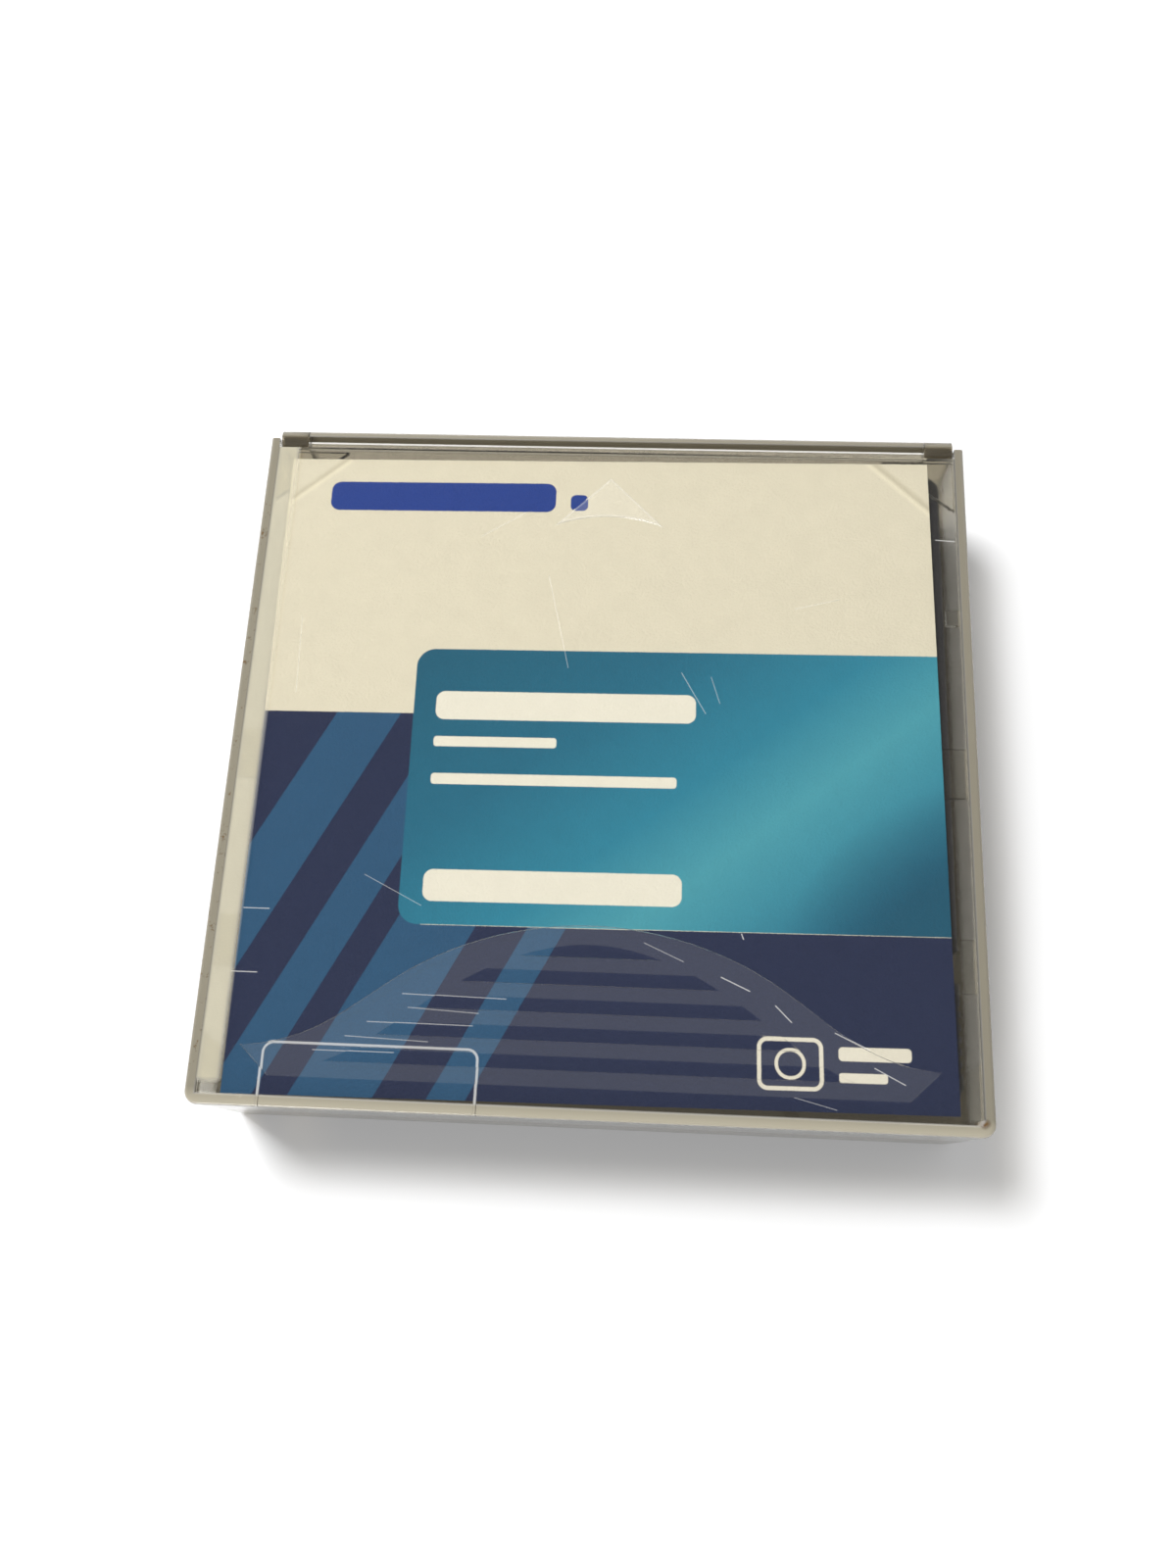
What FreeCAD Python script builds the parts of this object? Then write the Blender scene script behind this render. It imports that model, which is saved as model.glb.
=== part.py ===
import FreeCAD, Part
import math
import os
import re

import Sketcher
from FreeCAD import Placement, Rotation, Vector

# A half-inch, single-reel data tape cartridge lying in its hinged clear storage case.
# The case stands on the XY plane, centred on the origin, with its hinge at the back (+Y)
# and its thumb grip at the front (-Y). Lengths are millimetres, angles are degrees.

SIZES = dict(
    # Storage case, outside and walls.
    case_width=117,
    case_depth=113,
    case_height=26,
    case_wall=1.5,
    case_corner=2,
    case_edge=0.6,
    tray_floor=1.5,
    lid_plate=1.6,
    parting_height=13,
    parting_gap=0.1,
    # Lap lip of the tray, which stands inside the lid's rebated rim.
    lip_height=2,
    lip_thickness=0.6,
    lip_clearance=0.15,
    latch_reach=0.35,
    latch_length=9,
    latch_spread=34,
    latch_height=0.8,
    # Hinge barrel on the lid, carried between two ears of the tray.
    barrel_radius=1.75,
    barrel_gap=0.2,
    barrel_groove=1,
    barrel_groove_depth=0.5,
    hinge_pin=0.95,
    hinge_play=0.1,
    hinge_gap=0.3,
    ear_width=4.5,
    # Thumb grip on top of the lid, measured from the front face and the middle.
    grip_depth=0.5,
    grip_apex=28.3,
    grip_shoulder_reach=28,
    grip_shoulder=20.1,
    grip_flank_reach=38,
    grip_flank=13,
    grip_foot_reach=51,
    grip_foot=8.8,
    grip_base_reach=46.5,
    grip_base=4.5,
    bar_width=2,
    bar_pitch=4.15,
    bar_count=4,
    bar_first=6.9,
    bar_inset=3.6,
    # Tabs that hold the printed card against the lid.
    tab_thickness=0.8,
    tab_play=0.15,
    tab_reach=7.8,
    tab_length=8,
    tab_rear=-2,
    tab_front=-32,
    corner_tab_x=11.8,
    corner_tab_y=9,
    stop_reach=2.2,
    stop_front=23,
    stop_length=2.7,
    # Printed card, by the room left round it.
    card_side_gap=3.4,
    card_front_gap=0.28,
    card_back_gap=0.5,
    card_thickness=0.25,
    card_offset_x=-0.4,
    card_skew=0.6,
    # Room between the case's walls and the cartridge, and under the card's tabs.
    seat_left=6.3,
    seat_right=2.3,
    seat_front=3.5,
    seat_back=4.5,
    lid_room=0.2,
    # Ribs of the tray that keep the cartridge in its place, and the boss under its hub.
    fin_height=8,
    fin_thickness=1.2,
    fin_spread=32,
    fit_clearance=0.3,
    boss_outer=16,
    boss_wall=2.4,
    boss_height=1.2,
    # Cartridge's walls.
    shell_wall=2,
    shell_floor=2,
    shell_corner=2.5,
    shell_edge=0.6,
    shell_parting=10.5,
    label_gap=3.5,
    label_margin=4.7,
    label_edge=3.25,
    label_depth=0.3,
    notch_depth=1.1,
    notch_width=5,
    notch_inset=17,
    panel_side=10.7,
    panel_end=25,
    panel_sink=0.4,
    # Finger grooves in the cartridge's side walls.
    groove_depth=0.4,
    groove_width=0.9,
    groove_pitch=1.8,
    groove_first=4,
    groove_count=6,
    # Screws that hold the two shells together.
    screw_side=7.5,
    screw_end=6,
    post_radius=3,
    screw_shank=1.1,
    screw_head=2.4,
    screw_head_height=1.4,
    screw_sink=0.5,
    screw_length=13,
    screw_tip=0.5,
    screw_play=0.3,
    # Reel.
    hub_opening=17,
    rest_ring_outer=20,
    rest_ring_inner=17.5,
    flange_gap=1.5,
    flange_thickness=1.2,
    flange_lift=0.8,
    reel_headroom=1.5,
    pack_inset=2.5,
    tape_play=0.15,
    hub_radius=22,
    hub_bore=19.5,
    hub_floor=2,
    hub_eye=4,
    drive_outer=15.5,
    drive_inner=12.5,
    drive_height=1,
    drive_teeth=60,
    tooth_floor=0.2,
    plate_outer=11.8,
    plate_thickness=0.8,
    # Reel brake.
    lock_teeth=36,
    lock_inner=15.6,
    lock_height=1.2,
    lock_clearance=0.3,
    lock_overlap=0.2,
    brake_radius=18.3,
    brake_thickness=1.7,
    brake_travel=1.6,
    brake_rim=0.05,
    nose_radius=3,
    nose_height=0.1,
    socket_outer=8,
    socket_inner=5.5,
    socket_height=6,
    key_width=2,
    key_reach=7.2,
    key_play=0.2,
    pad_radius=9.5,
    pad_thickness=1.2,
    leg_circle=14,
    leg_radius=1.1,
    leg_hole=1.4,
    leg_lift=0.3,
    brake_coil=9.6,
    brake_wire=0.45,
    brake_turns=4,
    spring_play=0.05,
    # Leader pin and what holds it.
    pin_side=8.2,
    pin_end=15.5,
    pin_radius=1.25,
    pin_collar=2.2,
    pin_collar_height=1.1,
    pin_play=0.1,
    clip_radius=1.75,
    leaf_thickness=0.3,
    leaf_reach=4.5,
    film_thickness=0.15,
    film_clearance=0.3,
    # Sliding access door.
    door_opening=15,
    door_overlap=1.6,
    door_thickness=1.2,
    door_clearance=0.2,
    door_travel=15,
    hook_width=0.8,
    hook_height=2,
    rail_width=0.7,
    rail_height=1.2,
    door_coil=4.1,
    door_wire=0.25,
    door_coil_side=19.7,
    door_turns=2.5,
    door_pitch=0.6,
    door_leg_gap=0.3,
    # Write-protect slider.
    window_side=12.7,
    window_width=10.5,
    window_low=3.5,
    window_height=5,
    tab_overlap=1.3,
    tab_plate=1.2,
    slider_play=0.15,
    slider_end=0.2,
    slider_travel=4.5,
    # Memory chip, standing across the corner.
    chip_side=18,
    chip_headroom=2.5,
    chip_thickness=0.8,
    chip_end=10.7,
    chip_wall=12.4,
    chip_post=1.8,
)

# Shares of half a tooth's pitch: how wide a gap or a tooth is at its mouth and at its point.
DRIVE_GAP = (0.8, 0.3)
LOCK_GAP = (0.85, 0.25)
LOCK_TOOTH = (0.62, 0.12)
# How the inner bell of the thumb grip draws in from the outer one, against its inset.
BELL_SPREAD = 1.25
BELL_DROP = 0.8
COIL_STEPS = 12
CLOSE = 0.001

doc = FreeCAD.newDocument("DataTapeCartridge")
sheet = doc.addObject("Spreadsheet::Sheet", "Sizes")
for row, (name, size) in enumerate(SIZES.items(), start=1):
    sheet.set(f"A{row}", name)
    sheet.set(f"B{row}", str(size))
    sheet.setAlias(f"B{row}", name)
doc.recompute()

# Lines that several pieces share, spelled over the sheet's names.
HALF_WIDTH = "case_width / 2"
HALF_DEPTH = "case_depth / 2"
INNER_WIDTH = "(case_width / 2 - case_wall)"
INNER_DEPTH = "(case_depth / 2 - case_wall)"
HINGE_Y = "(case_depth / 2 - barrel_radius)"
HINGE_Z = "(case_height - barrel_radius)"
PLATE_UNDER = "(case_height - lid_plate)"
PLATE_BACK = "(case_depth / 2 - 2 * barrel_radius - hinge_gap)"
BARREL_END = f"({INNER_WIDTH} - hinge_gap - ear_width - barrel_gap)"
LIP_OUTER = "(case_wall - lip_thickness)"
REBATE = "(case_wall - lip_thickness - lip_clearance)"
TAB_TOP = "(case_height - lid_plate - card_thickness - tab_play)"
CARD_WIDTH = f"(2 * ({INNER_WIDTH} - card_side_gap))"
CARD_RISE = f"({CARD_WIDTH} / 2 * sin(card_skew))"
CARD_DEPTH = f"({PLATE_BACK} + {INNER_DEPTH} - card_back_gap - card_front_gap - 2 * {CARD_RISE})"
# The cartridge's own lines, from its bottom centre.
MIDDLE_X = "((seat_left - seat_right) / 2)"
MIDDLE_Y = "((seat_front - seat_back) / 2)"
BODY_X = f"({INNER_WIDTH} - (seat_left + seat_right) / 2)"
BODY_Y = f"({INNER_DEPTH} - (seat_front + seat_back) / 2)"
BODY_TOP = f"({TAB_TOP} - tab_thickness - lid_room - tray_floor)"
ROOM_X = f"({BODY_X} - shell_wall)"
ROOM_Y = f"({BODY_Y} - shell_wall)"
CEILING = f"({BODY_TOP} - shell_floor)"
SCREW_X = f"({BODY_X} - screw_side)"
SCREW_Y = f"({BODY_Y} - screw_end)"
FLANGE_RADIUS = f"(min({ROOM_X}; {ROOM_Y}) - flange_gap)"
PACK_RADIUS = f"({FLANGE_RADIUS} - pack_inset)"
FLANGE_LOW = "(shell_floor + flange_lift)"
FLANGE_TOP = f"({FLANGE_LOW} + flange_thickness)"
TAPE_WIDTH = f"({CEILING} - reel_headroom - flange_thickness - tape_play - {FLANGE_TOP})"
UPPER_FLANGE = f"({FLANGE_TOP} + {TAPE_WIDTH} + tape_play)"
HUB_UNDER = "(shell_floor + drive_height)"
HUB_TOP = f"({HUB_UNDER} + hub_floor)"
BRAKE_LOW = f"({HUB_TOP} + pad_thickness + nose_height)"
BRAKE_TOP = f"({BRAKE_LOW} + brake_thickness)"
PIN_X = f"({BODY_X} - pin_side)"
PIN_Y = f"({BODY_Y} - pin_end)"
DOOR_OUT = f"({ROOM_X} - door_clearance)"
DOOR_IN = f"({DOOR_OUT} - door_thickness)"
DOOR_FRONT = f"({PIN_Y} + door_opening / 2 + door_overlap)"
DOOR_BACK = f"({PIN_Y} - door_opening / 2 - door_overlap)"
WINDOW_LEFT = f"(window_side - {BODY_X})"
WINDOW_RIGHT = f"({WINDOW_LEFT} + window_width)"
NUB_WIDTH = "(window_width - slider_travel - 2 * slider_end)"
CHIP_X = f"({BODY_X} - chip_wall)"
CHIP_Y = f"(chip_end - {BODY_Y})"


def tied(expression):
    """Spell an expression over size names as one over the sheet's cells."""
    def cell(word):
        return f"Sizes.{word[0]}" if word[0] in SIZES else word[0]

    return re.sub(r"[a-z_]+", cell, expression)


def value(expression):
    """Work out an expression over size names as a plain number."""
    return float(sheet.evalExpression(tied(expression)))


def bind(item, **expressions):
    """Bind properties to expressions; a double underscore stands for a dot."""
    for name, expression in expressions.items():
        item.setExpression(name.replace("__", "."), tied(expression))


def new_body(label, inside_cartridge=False):
    """Start a body, in the case's frame or in the cartridge's, whose origin is its bottom centre."""
    body = doc.addObject("PartDesign::Body", label)
    if inside_cartridge:
        bind(body, Placement__Base__x=MIDDLE_X, Placement__Base__y=MIDDLE_Y)
        bind(body, Placement__Base__z="tray_floor")
    return body


def rectangle(left, right, front, back):
    return [(left, front), (right, front), (right, back), (left, back)]


def circle(middle_x, middle_y, radius):
    return (middle_x, middle_y, radius)


def origin_feature(body, role):
    return next(item for item in body.Origin.OriginFeatures if item.Role == role)


def pin_down(sketch, edge, point, spot):
    """Tie a point of a sketch to its two coordinates."""
    for kind, expression in zip(("DistanceX", "DistanceY"), spot):
        rule = Sketcher.Constraint(kind, -1, 1, edge, point, value(expression))
        number = sketch.addConstraint(rule)
        sketch.setExpression(f"Constraints[{number}]", tied(expression))


def draw_polygon(sketch, corners):
    first = sketch.GeometryCount
    spots = [Vector(value(x), value(y), 0) for x, y in corners]
    for here, there in zip(spots, spots[1:] + spots[:1]):
        sketch.addGeometry(Part.LineSegment(here, there))
    for index, corner in enumerate(corners):
        following = first + (index + 1) % len(corners)
        sketch.addConstraint(Sketcher.Constraint("Coincident", first + index, 2, following, 1))
        pin_down(sketch, first + index, 1, corner)


def draw_circle(sketch, middle_x, middle_y, radius):
    middle = Vector(value(middle_x), value(middle_y), 0)
    edge = sketch.addGeometry(Part.Circle(middle, Vector(0, 0, 1), value(radius)))
    number = sketch.addConstraint(Sketcher.Constraint("Radius", edge, value(radius)))
    sketch.setExpression(f"Constraints[{number}]", tied(radius))
    pin_down(sketch, edge, 3, (middle_x, middle_y))


def new_sketch(body, loops, role="XY_Plane", lift="0"):
    """Draw closed loops on one of the body's origin planes, lifted along the plane's normal."""
    sketch = body.newObject("Sketcher::SketchObject", "Outline")
    sketch.AttachmentSupport = [(origin_feature(body, role), "")]
    sketch.MapMode = "FlatFace"
    bind(sketch, AttachmentOffset__Base__z=lift)
    for loop in loops:
        if isinstance(loop, tuple):
            draw_circle(sketch, *loop)
        else:
            draw_polygon(sketch, loop)
    return sketch


def pad(body, loops, low, high, role="XY_Plane"):
    """Add material between two heights along the plane's normal."""
    feature = body.newObject("PartDesign::Pad", "Pad")
    feature.Profile = new_sketch(body, loops, role, low)
    bind(feature, Length=f"({high}) - ({low})")
    body.Tip = feature
    return feature


def pocket(body, loops, low, high, role="XY_Plane"):
    """Remove material between two heights along the plane's normal."""
    feature = body.newObject("PartDesign::Pocket", "Pocket")
    feature.Profile = new_sketch(body, loops, role, high)
    bind(feature, Length=f"({high}) - ({low})")
    body.Tip = feature
    return feature


def revolve(body, corners):
    """Turn a profile of radius and height about the body's Z axis."""
    sketch = new_sketch(body, [corners], "XZ_Plane")
    feature = body.newObject("PartDesign::Revolution", "Turned")
    feature.Profile = sketch
    feature.ReferenceAxis = (sketch, ["V_Axis"])
    feature.Angle = 360
    body.Tip = feature
    return feature


def around(body, feature, count):
    """Repeat a feature evenly about the body's Z axis."""
    pattern = body.newObject("PartDesign::PolarPattern", "Around")
    pattern.Originals = [feature]
    pattern.Axis = (origin_feature(body, "Z_Axis"), [""])
    pattern.Angle = 360
    bind(pattern, Occurrences=count)
    body.Tip = pattern
    return pattern


def round_edges(body, radius, wanted):
    """Round the edges of the body that a test picks."""
    doc.recompute()
    base = body.Tip
    names = [f"Edge{number}" for number, edge in enumerate(base.Shape.Edges, start=1) if wanted(edge)]
    feature = body.newObject("PartDesign::Fillet", "Rounded")
    feature.Base = (base, names)
    bind(feature, Radius=radius)
    body.Tip = feature
    return feature


def is_upright(edge):
    box = edge.BoundBox
    return box.XLength < CLOSE and box.YLength < CLOSE


def is_level_at(height):
    """Test for edges that lie flat at a height."""
    level = value(height)
    return lambda edge: abs(edge.BoundBox.ZMin - level) < CLOSE and edge.BoundBox.ZLength < CLOSE


def corners_of(reach_x, reach_y):
    """The four places at plus and minus two reaches."""
    return [(f"{right} * {reach_x}", f"{up} * {reach_y}") for right in (-1, 1) for up in (-1, 1)]


def case_tray():
    """Lower half of the case, with the back wall, the hinge ears and the cartridge's seat."""
    body = new_body("case_tray")
    pad(body, [rectangle(f"-{HALF_WIDTH}", HALF_WIDTH, f"-{HALF_DEPTH}", HALF_DEPTH)], "0", "parting_height")
    round_edges(body, "case_corner", is_upright)
    round_edges(body, "case_edge", is_level_at("0"))
    room = rectangle(f"-{INNER_WIDTH}", INNER_WIDTH, f"-{INNER_DEPTH}", INNER_DEPTH)
    pocket(body, [room], "tray_floor", "parting_height")
    lip_x = f"({HALF_WIDTH} - {LIP_OUTER})"
    lip_y = f"({HALF_DEPTH} - {LIP_OUTER})"
    lip = [(f"-{lip_x}", f"-{lip_y}"), (lip_x, f"-{lip_y}"), (lip_x, INNER_DEPTH), (INNER_WIDTH, INNER_DEPTH),
           (INNER_WIDTH, f"-{INNER_DEPTH}"), (f"-{INNER_WIDTH}", f"-{INNER_DEPTH}"),
           (f"-{INNER_WIDTH}", INNER_DEPTH), (f"-{lip_x}", INNER_DEPTH)]
    pad(body, [lip], "parting_height", "parting_height + lip_height")
    back_x = f"({INNER_WIDTH} - hinge_gap)"
    back_wall = rectangle(f"-{back_x}", back_x, INNER_DEPTH, HALF_DEPTH)
    pad(body, [back_wall], "parting_height", f"{HINGE_Z} - barrel_radius - hinge_gap")
    for side in (-1, 1):
        outer = f"{side} * {back_x}"
        inner = f"{side} * ({back_x} - ear_width)"
        low, high = (outer, inner) if side < 0 else (inner, outer)
        stem = rectangle(low, high, f"{HALF_DEPTH} - 2 * barrel_radius", HALF_DEPTH)
        pad(body, [stem], "tray_floor", HINGE_Z)
        pad(body, [circle(HINGE_Y, HINGE_Z, "barrel_radius")], low, high, "YZ_Plane")
        pocket(body, [circle(HINGE_Y, HINGE_Z, "hinge_pin + hinge_play")], low, high, "YZ_Plane")
    left = f"({MIDDLE_X} - {BODY_X} - fit_clearance)"
    right = f"({MIDDLE_X} + {BODY_X} + fit_clearance)"
    front = f"({MIDDLE_Y} - {BODY_Y} - fit_clearance)"
    back = f"({MIDDLE_Y} + {BODY_Y} + fit_clearance)"
    fins = []
    for side in (-1, 1):
        low = f"{side} * fin_spread - fin_thickness / 2"
        high = f"{side} * fin_spread + fin_thickness / 2"
        fins.append(rectangle(f"-{INNER_WIDTH}", left, low, high))
        fins.append(rectangle(right, INNER_WIDTH, low, high))
        fins.append(rectangle(low, high, f"-{INNER_DEPTH}", front))
        fins.append(rectangle(low, high, back, INNER_DEPTH))
    pad(body, fins, "tray_floor", "tray_floor + fin_height")
    boss = [circle(MIDDLE_X, MIDDLE_Y, "boss_outer"), circle(MIDDLE_X, MIDDLE_Y, "boss_outer - boss_wall")]
    pad(body, boss, "tray_floor", "tray_floor + boss_height")
    latches = []
    for side in (-1, 1):
        middle = f"{side} * latch_spread"
        latches.append(rectangle(f"{middle} - latch_length / 2", f"{middle} + latch_length / 2",
                                 f"-{lip_y} - latch_reach", f"-{lip_y}"))
    low = "parting_height + (lip_height - latch_height) / 2"
    pad(body, latches, low, f"{low} + latch_height")
    return body


def lid_shell():
    """Lid of the case without its thumb grip."""
    body = new_body("lid_shell")
    bottom = "parting_height + parting_gap"
    pad(body, [rectangle(f"-{HALF_WIDTH}", HALF_WIDTH, f"-{HALF_DEPTH}", HALF_DEPTH)], bottom, "case_height")
    round_edges(body, "case_corner", is_upright)
    round_edges(body, "case_edge", is_level_at("case_height"))
    room = rectangle(f"-{INNER_WIDTH}", INNER_WIDTH, f"-{INNER_DEPTH}", HALF_DEPTH)
    pocket(body, [room], bottom, PLATE_UNDER)
    rebate_x = f"({HALF_WIDTH} - {REBATE})"
    rebate_y = f"({HALF_DEPTH} - {REBATE})"
    rebate = rectangle(f"-{rebate_x}", rebate_x, f"-{rebate_y}", HALF_DEPTH)
    pocket(body, [rebate], bottom, f"{bottom} + lip_height + lip_clearance")
    dents = []
    for side in (-1, 1):
        middle = f"{side} * latch_spread"
        reach = f"(latch_length / 2 + {REBATE} / 2)"
        dents.append(rectangle(f"{middle} - {reach}", f"{middle} + {reach}",
                               f"-{rebate_y} - latch_reach", f"-{rebate_y}"))
    low = "parting_height + (lip_height - latch_height) / 2 - lip_clearance"
    pocket(body, dents, low, f"{low} + latch_height + 2 * lip_clearance")
    behind = rectangle(f"-{HALF_WIDTH}", HALF_WIDTH, f"{HINGE_Y} - hinge_gap", HALF_DEPTH)
    pocket(body, [behind], bottom, "case_height")
    plate_end = rectangle(f"-{INNER_WIDTH}", INNER_WIDTH, PLATE_BACK, HALF_DEPTH)
    pocket(body, [plate_end], PLATE_UNDER, "case_height")
    web = rectangle(f"-{BARREL_END}", BARREL_END, PLATE_BACK, HINGE_Y)
    pad(body, [web], PLATE_UNDER, "case_height")
    pad(body, [circle(HINGE_Y, HINGE_Z, "barrel_radius")], f"-{BARREL_END}", BARREL_END, "YZ_Plane")
    pin_end = f"({INNER_WIDTH} - 2 * hinge_gap)"
    pad(body, [circle(HINGE_Y, HINGE_Z, "hinge_pin")], f"-{pin_end}", pin_end, "YZ_Plane")
    trench = rectangle(f"-{BARREL_END}", BARREL_END, PLATE_BACK, f"{PLATE_BACK} + barrel_groove")
    pocket(body, [trench], "case_height - barrel_groove_depth", "case_height")
    pad(body, card_tabs(), f"{TAB_TOP} - tab_thickness", TAB_TOP)
    return body


def card_tabs():
    """Outlines of the tabs that reach in from the lid's walls under the card, and of its small stop."""
    stop_in = f"({INNER_WIDTH} - stop_reach)"
    tabs = [rectangle(stop_in, INNER_WIDTH, "stop_front", "stop_front + stop_length")]
    for side in (-1, 1):
        wall = f"{side} * {INNER_WIDTH}"
        for middle in ("tab_rear", "tab_front"):
            tip = f"{side} * ({INNER_WIDTH} - tab_reach)"
            low, high = (wall, tip) if side < 0 else (tip, wall)
            tabs.append(rectangle(low, high, f"{middle} - tab_length / 2", f"{middle} + tab_length / 2"))
        along = f"{side} * ({INNER_WIDTH} - corner_tab_x)"
        tabs.append([(wall, PLATE_BACK), (along, PLATE_BACK), (wall, f"{PLATE_BACK} - corner_tab_y")])
        tabs.append([(wall, f"-{INNER_DEPTH}"), (along, f"-{INNER_DEPTH}"),
                     (wall, f"-{INNER_DEPTH} + corner_tab_y")])
    return tabs


def bell_face(inset):
    """Face of the bell-shaped thumb grip, or of the smaller bell that lies inside its rim."""
    front = value(f"-{HALF_DEPTH}")

    def spot(reach, rise):
        return Vector(value(reach), front + value(rise), 0)

    right = [spot(f"{reach} - {inset} * {BELL_SPREAD}", f"{rise} - {inset}") for reach, rise in (
        ("grip_foot_reach", "grip_foot"), ("grip_flank_reach", "grip_flank"),
        ("grip_shoulder_reach", "grip_shoulder"))]
    left = [Vector(-point.x, point.y, 0) for point in reversed(right)]
    top = spot("0", f"grip_apex - {inset} * {BELL_DROP}")
    curve = Part.BSplineCurve()
    curve.interpolate(right + [top] + left)
    base_reach = value(f"grip_base_reach - {inset}")
    base_rise = front + value("grip_base")
    ends = [left[-1], Vector(-base_reach, base_rise, 0), Vector(base_reach, base_rise, 0), right[0]]
    edges = [curve.toShape()]
    edges += [Part.makeLine(here, there) for here, there in zip(ends, ends[1:])]
    return Part.Face(Part.Wire(Part.__sortEdges__(edges)))


def grip_recess():
    """Shallow bell-shaped hollow of the thumb grip, less the bars that stand in it."""
    depth = value("grip_depth")
    hollow = bell_face("0").extrude(Vector(0, 0, 2 * depth))
    inner = bell_face("bar_inset").extrude(Vector(0, 0, 2 * depth))
    front = value(f"-{HALF_DEPTH}")
    wide = value("case_width")
    bars = []
    for index in range(SIZES["bar_count"]):
        low = front + value(f"bar_first + {index} * bar_pitch")
        bars.append(Part.makeBox(wide, value("bar_width"), 2 * depth, Vector(-wide / 2, low, 0)))
    cap_low = front + value("bar_first + bar_count * bar_pitch")
    bars.append(Part.makeBox(wide, wide, 2 * depth, Vector(-wide / 2, cap_low, 0)))
    standing = inner.common(Part.makeCompound(bars))
    recess = doc.addObject("Part::Feature", "grip_recess")
    recess.Shape = hollow.cut(standing)
    bind(recess, Placement__Base__z="case_height - grip_depth")
    return recess


def case_lid():
    """Lid of the case, which swings on its own barrel at the back."""
    lid = doc.addObject("Part::Cut", "case_lid")
    lid.Base = lid_shell()
    lid.Tool = grip_recess()
    return lid


def insert_card():
    """Printed card, a little askew on its tabs under the lid."""
    body = new_body("insert_card")
    edge = rectangle(f"-{CARD_WIDTH} / 2", f"{CARD_WIDTH} / 2", f"-{CARD_DEPTH} / 2", f"{CARD_DEPTH} / 2")
    pad(body, [edge], "0", "card_thickness")
    body.Placement.Rotation = Rotation(Vector(0, 0, 1), value("card_skew"))
    bind(body, Placement__Base__x="card_offset_x", Placement__Base__z=TAB_TOP)
    bind(body, Placement__Base__y=f"{PLATE_BACK} - card_back_gap - {CARD_RISE} - {CARD_DEPTH} / 2")
    return body


def shell_half(label, low, high, room_low, room_high):
    """Rectangular half of the cartridge, hollowed, with its side grooves, notches and door opening."""
    body = new_body(label, inside_cartridge=True)
    pad(body, [rectangle(f"-{BODY_X}", BODY_X, f"-{BODY_Y}", BODY_Y)], low, high)
    round_edges(body, "shell_corner", is_upright)
    outside = low if label == "lower_shell" else high
    round_edges(body, "shell_edge", is_level_at(outside))
    pocket(body, [rectangle(f"-{ROOM_X}", ROOM_X, f"-{ROOM_Y}", ROOM_Y)], room_low, room_high)
    notches = []
    for side in (-1, 1):
        wall = f"{side} * {BODY_X}"
        deep = f"{side} * ({BODY_X} - notch_depth)"
        ends = (wall, deep) if side < 0 else (deep, wall)
        notches.append(rectangle(*ends, f"notch_inset - {BODY_Y}", f"notch_inset - {BODY_Y} + notch_width"))
        shallow = f"{side} * ({BODY_X} - groove_depth)"
        ends = (wall, shallow) if side < 0 else (shallow, wall)
        for index in range(SIZES["groove_count"]):
            front = f"(groove_first - {BODY_Y} + {index} * groove_pitch)"
            notches.append(rectangle(*ends, front, f"{front} + groove_width"))
    pocket(body, notches, low, high)
    opening = rectangle(ROOM_X, BODY_X, f"{PIN_Y} - door_opening / 2", f"{PIN_Y} + door_opening / 2")
    pocket(body, [opening], room_low, room_high)
    label_low = "label_edge" if label == "lower_shell" else low
    label_high = high if label == "lower_shell" else f"{BODY_TOP} - label_edge"
    recess = rectangle(f"{WINDOW_RIGHT} + label_gap", f"{BODY_X} - label_margin",
                       f"-{BODY_Y}", f"-{BODY_Y} + label_depth")
    pocket(body, [recess], label_low, label_high)
    return body


def lower_shell():
    """Lower half of the cartridge, with the hub opening, the door's rail and the screw posts."""
    body = shell_half("lower_shell", "0", "shell_parting", "shell_floor", "shell_parting")
    rest = [circle("0", "0", "rest_ring_outer"), circle("0", "0", "rest_ring_inner")]
    pad(body, rest, "shell_floor", FLANGE_LOW)
    pocket(body, [circle("0", "0", "hub_opening")], "0", "shell_floor")
    places = corners_of(SCREW_X, SCREW_Y)
    pad(body, [circle(x, y, "post_radius") for x, y in places], "shell_floor", "shell_parting")
    rail = rectangle(f"{DOOR_IN} - door_clearance - rail_width", f"{DOOR_IN} - door_clearance",
                     f"{DOOR_BACK} - door_travel", f"{DOOR_BACK}")
    pad(body, [rail], "shell_floor", "shell_floor + rail_height")
    pad(body, chip_posts(), "shell_floor", "shell_parting - slider_play")
    slider_in = f"-{ROOM_Y} + slider_play + tab_plate + slider_play"
    guide = rectangle(f"-{ROOM_X}", WINDOW_RIGHT, slider_in, f"{slider_in} + rail_width")
    pad(body, [guide], "shell_floor", "window_low + window_height")
    bores = [circle(x, y, "screw_shank + screw_play") for x, y in places]
    pocket(body, bores, "0", "shell_parting")
    sinks = [circle(x, y, "screw_head + screw_play") for x, y in places]
    pocket(body, sinks, "0", "screw_sink + screw_head_height")
    window = rectangle(WINDOW_LEFT, WINDOW_RIGHT, f"-{BODY_Y}", f"-{ROOM_Y}")
    pocket(body, [window], "window_low", "window_low + window_height")
    return body


def chip_outline():
    """Outline of the memory chip, seen from above, standing across its corner."""
    points = []
    for along, across in ((-1, -1), (1, -1), (1, 1), (-1, 1)):
        length = f"{along} * chip_side / 2"
        depth = f"{across} * chip_thickness / 2"
        points.append((f"{CHIP_X} + ({length} + {depth}) * sqrt(0.5)",
                       f"{CHIP_Y} + ({length} - {depth}) * sqrt(0.5)"))
    return points


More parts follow.
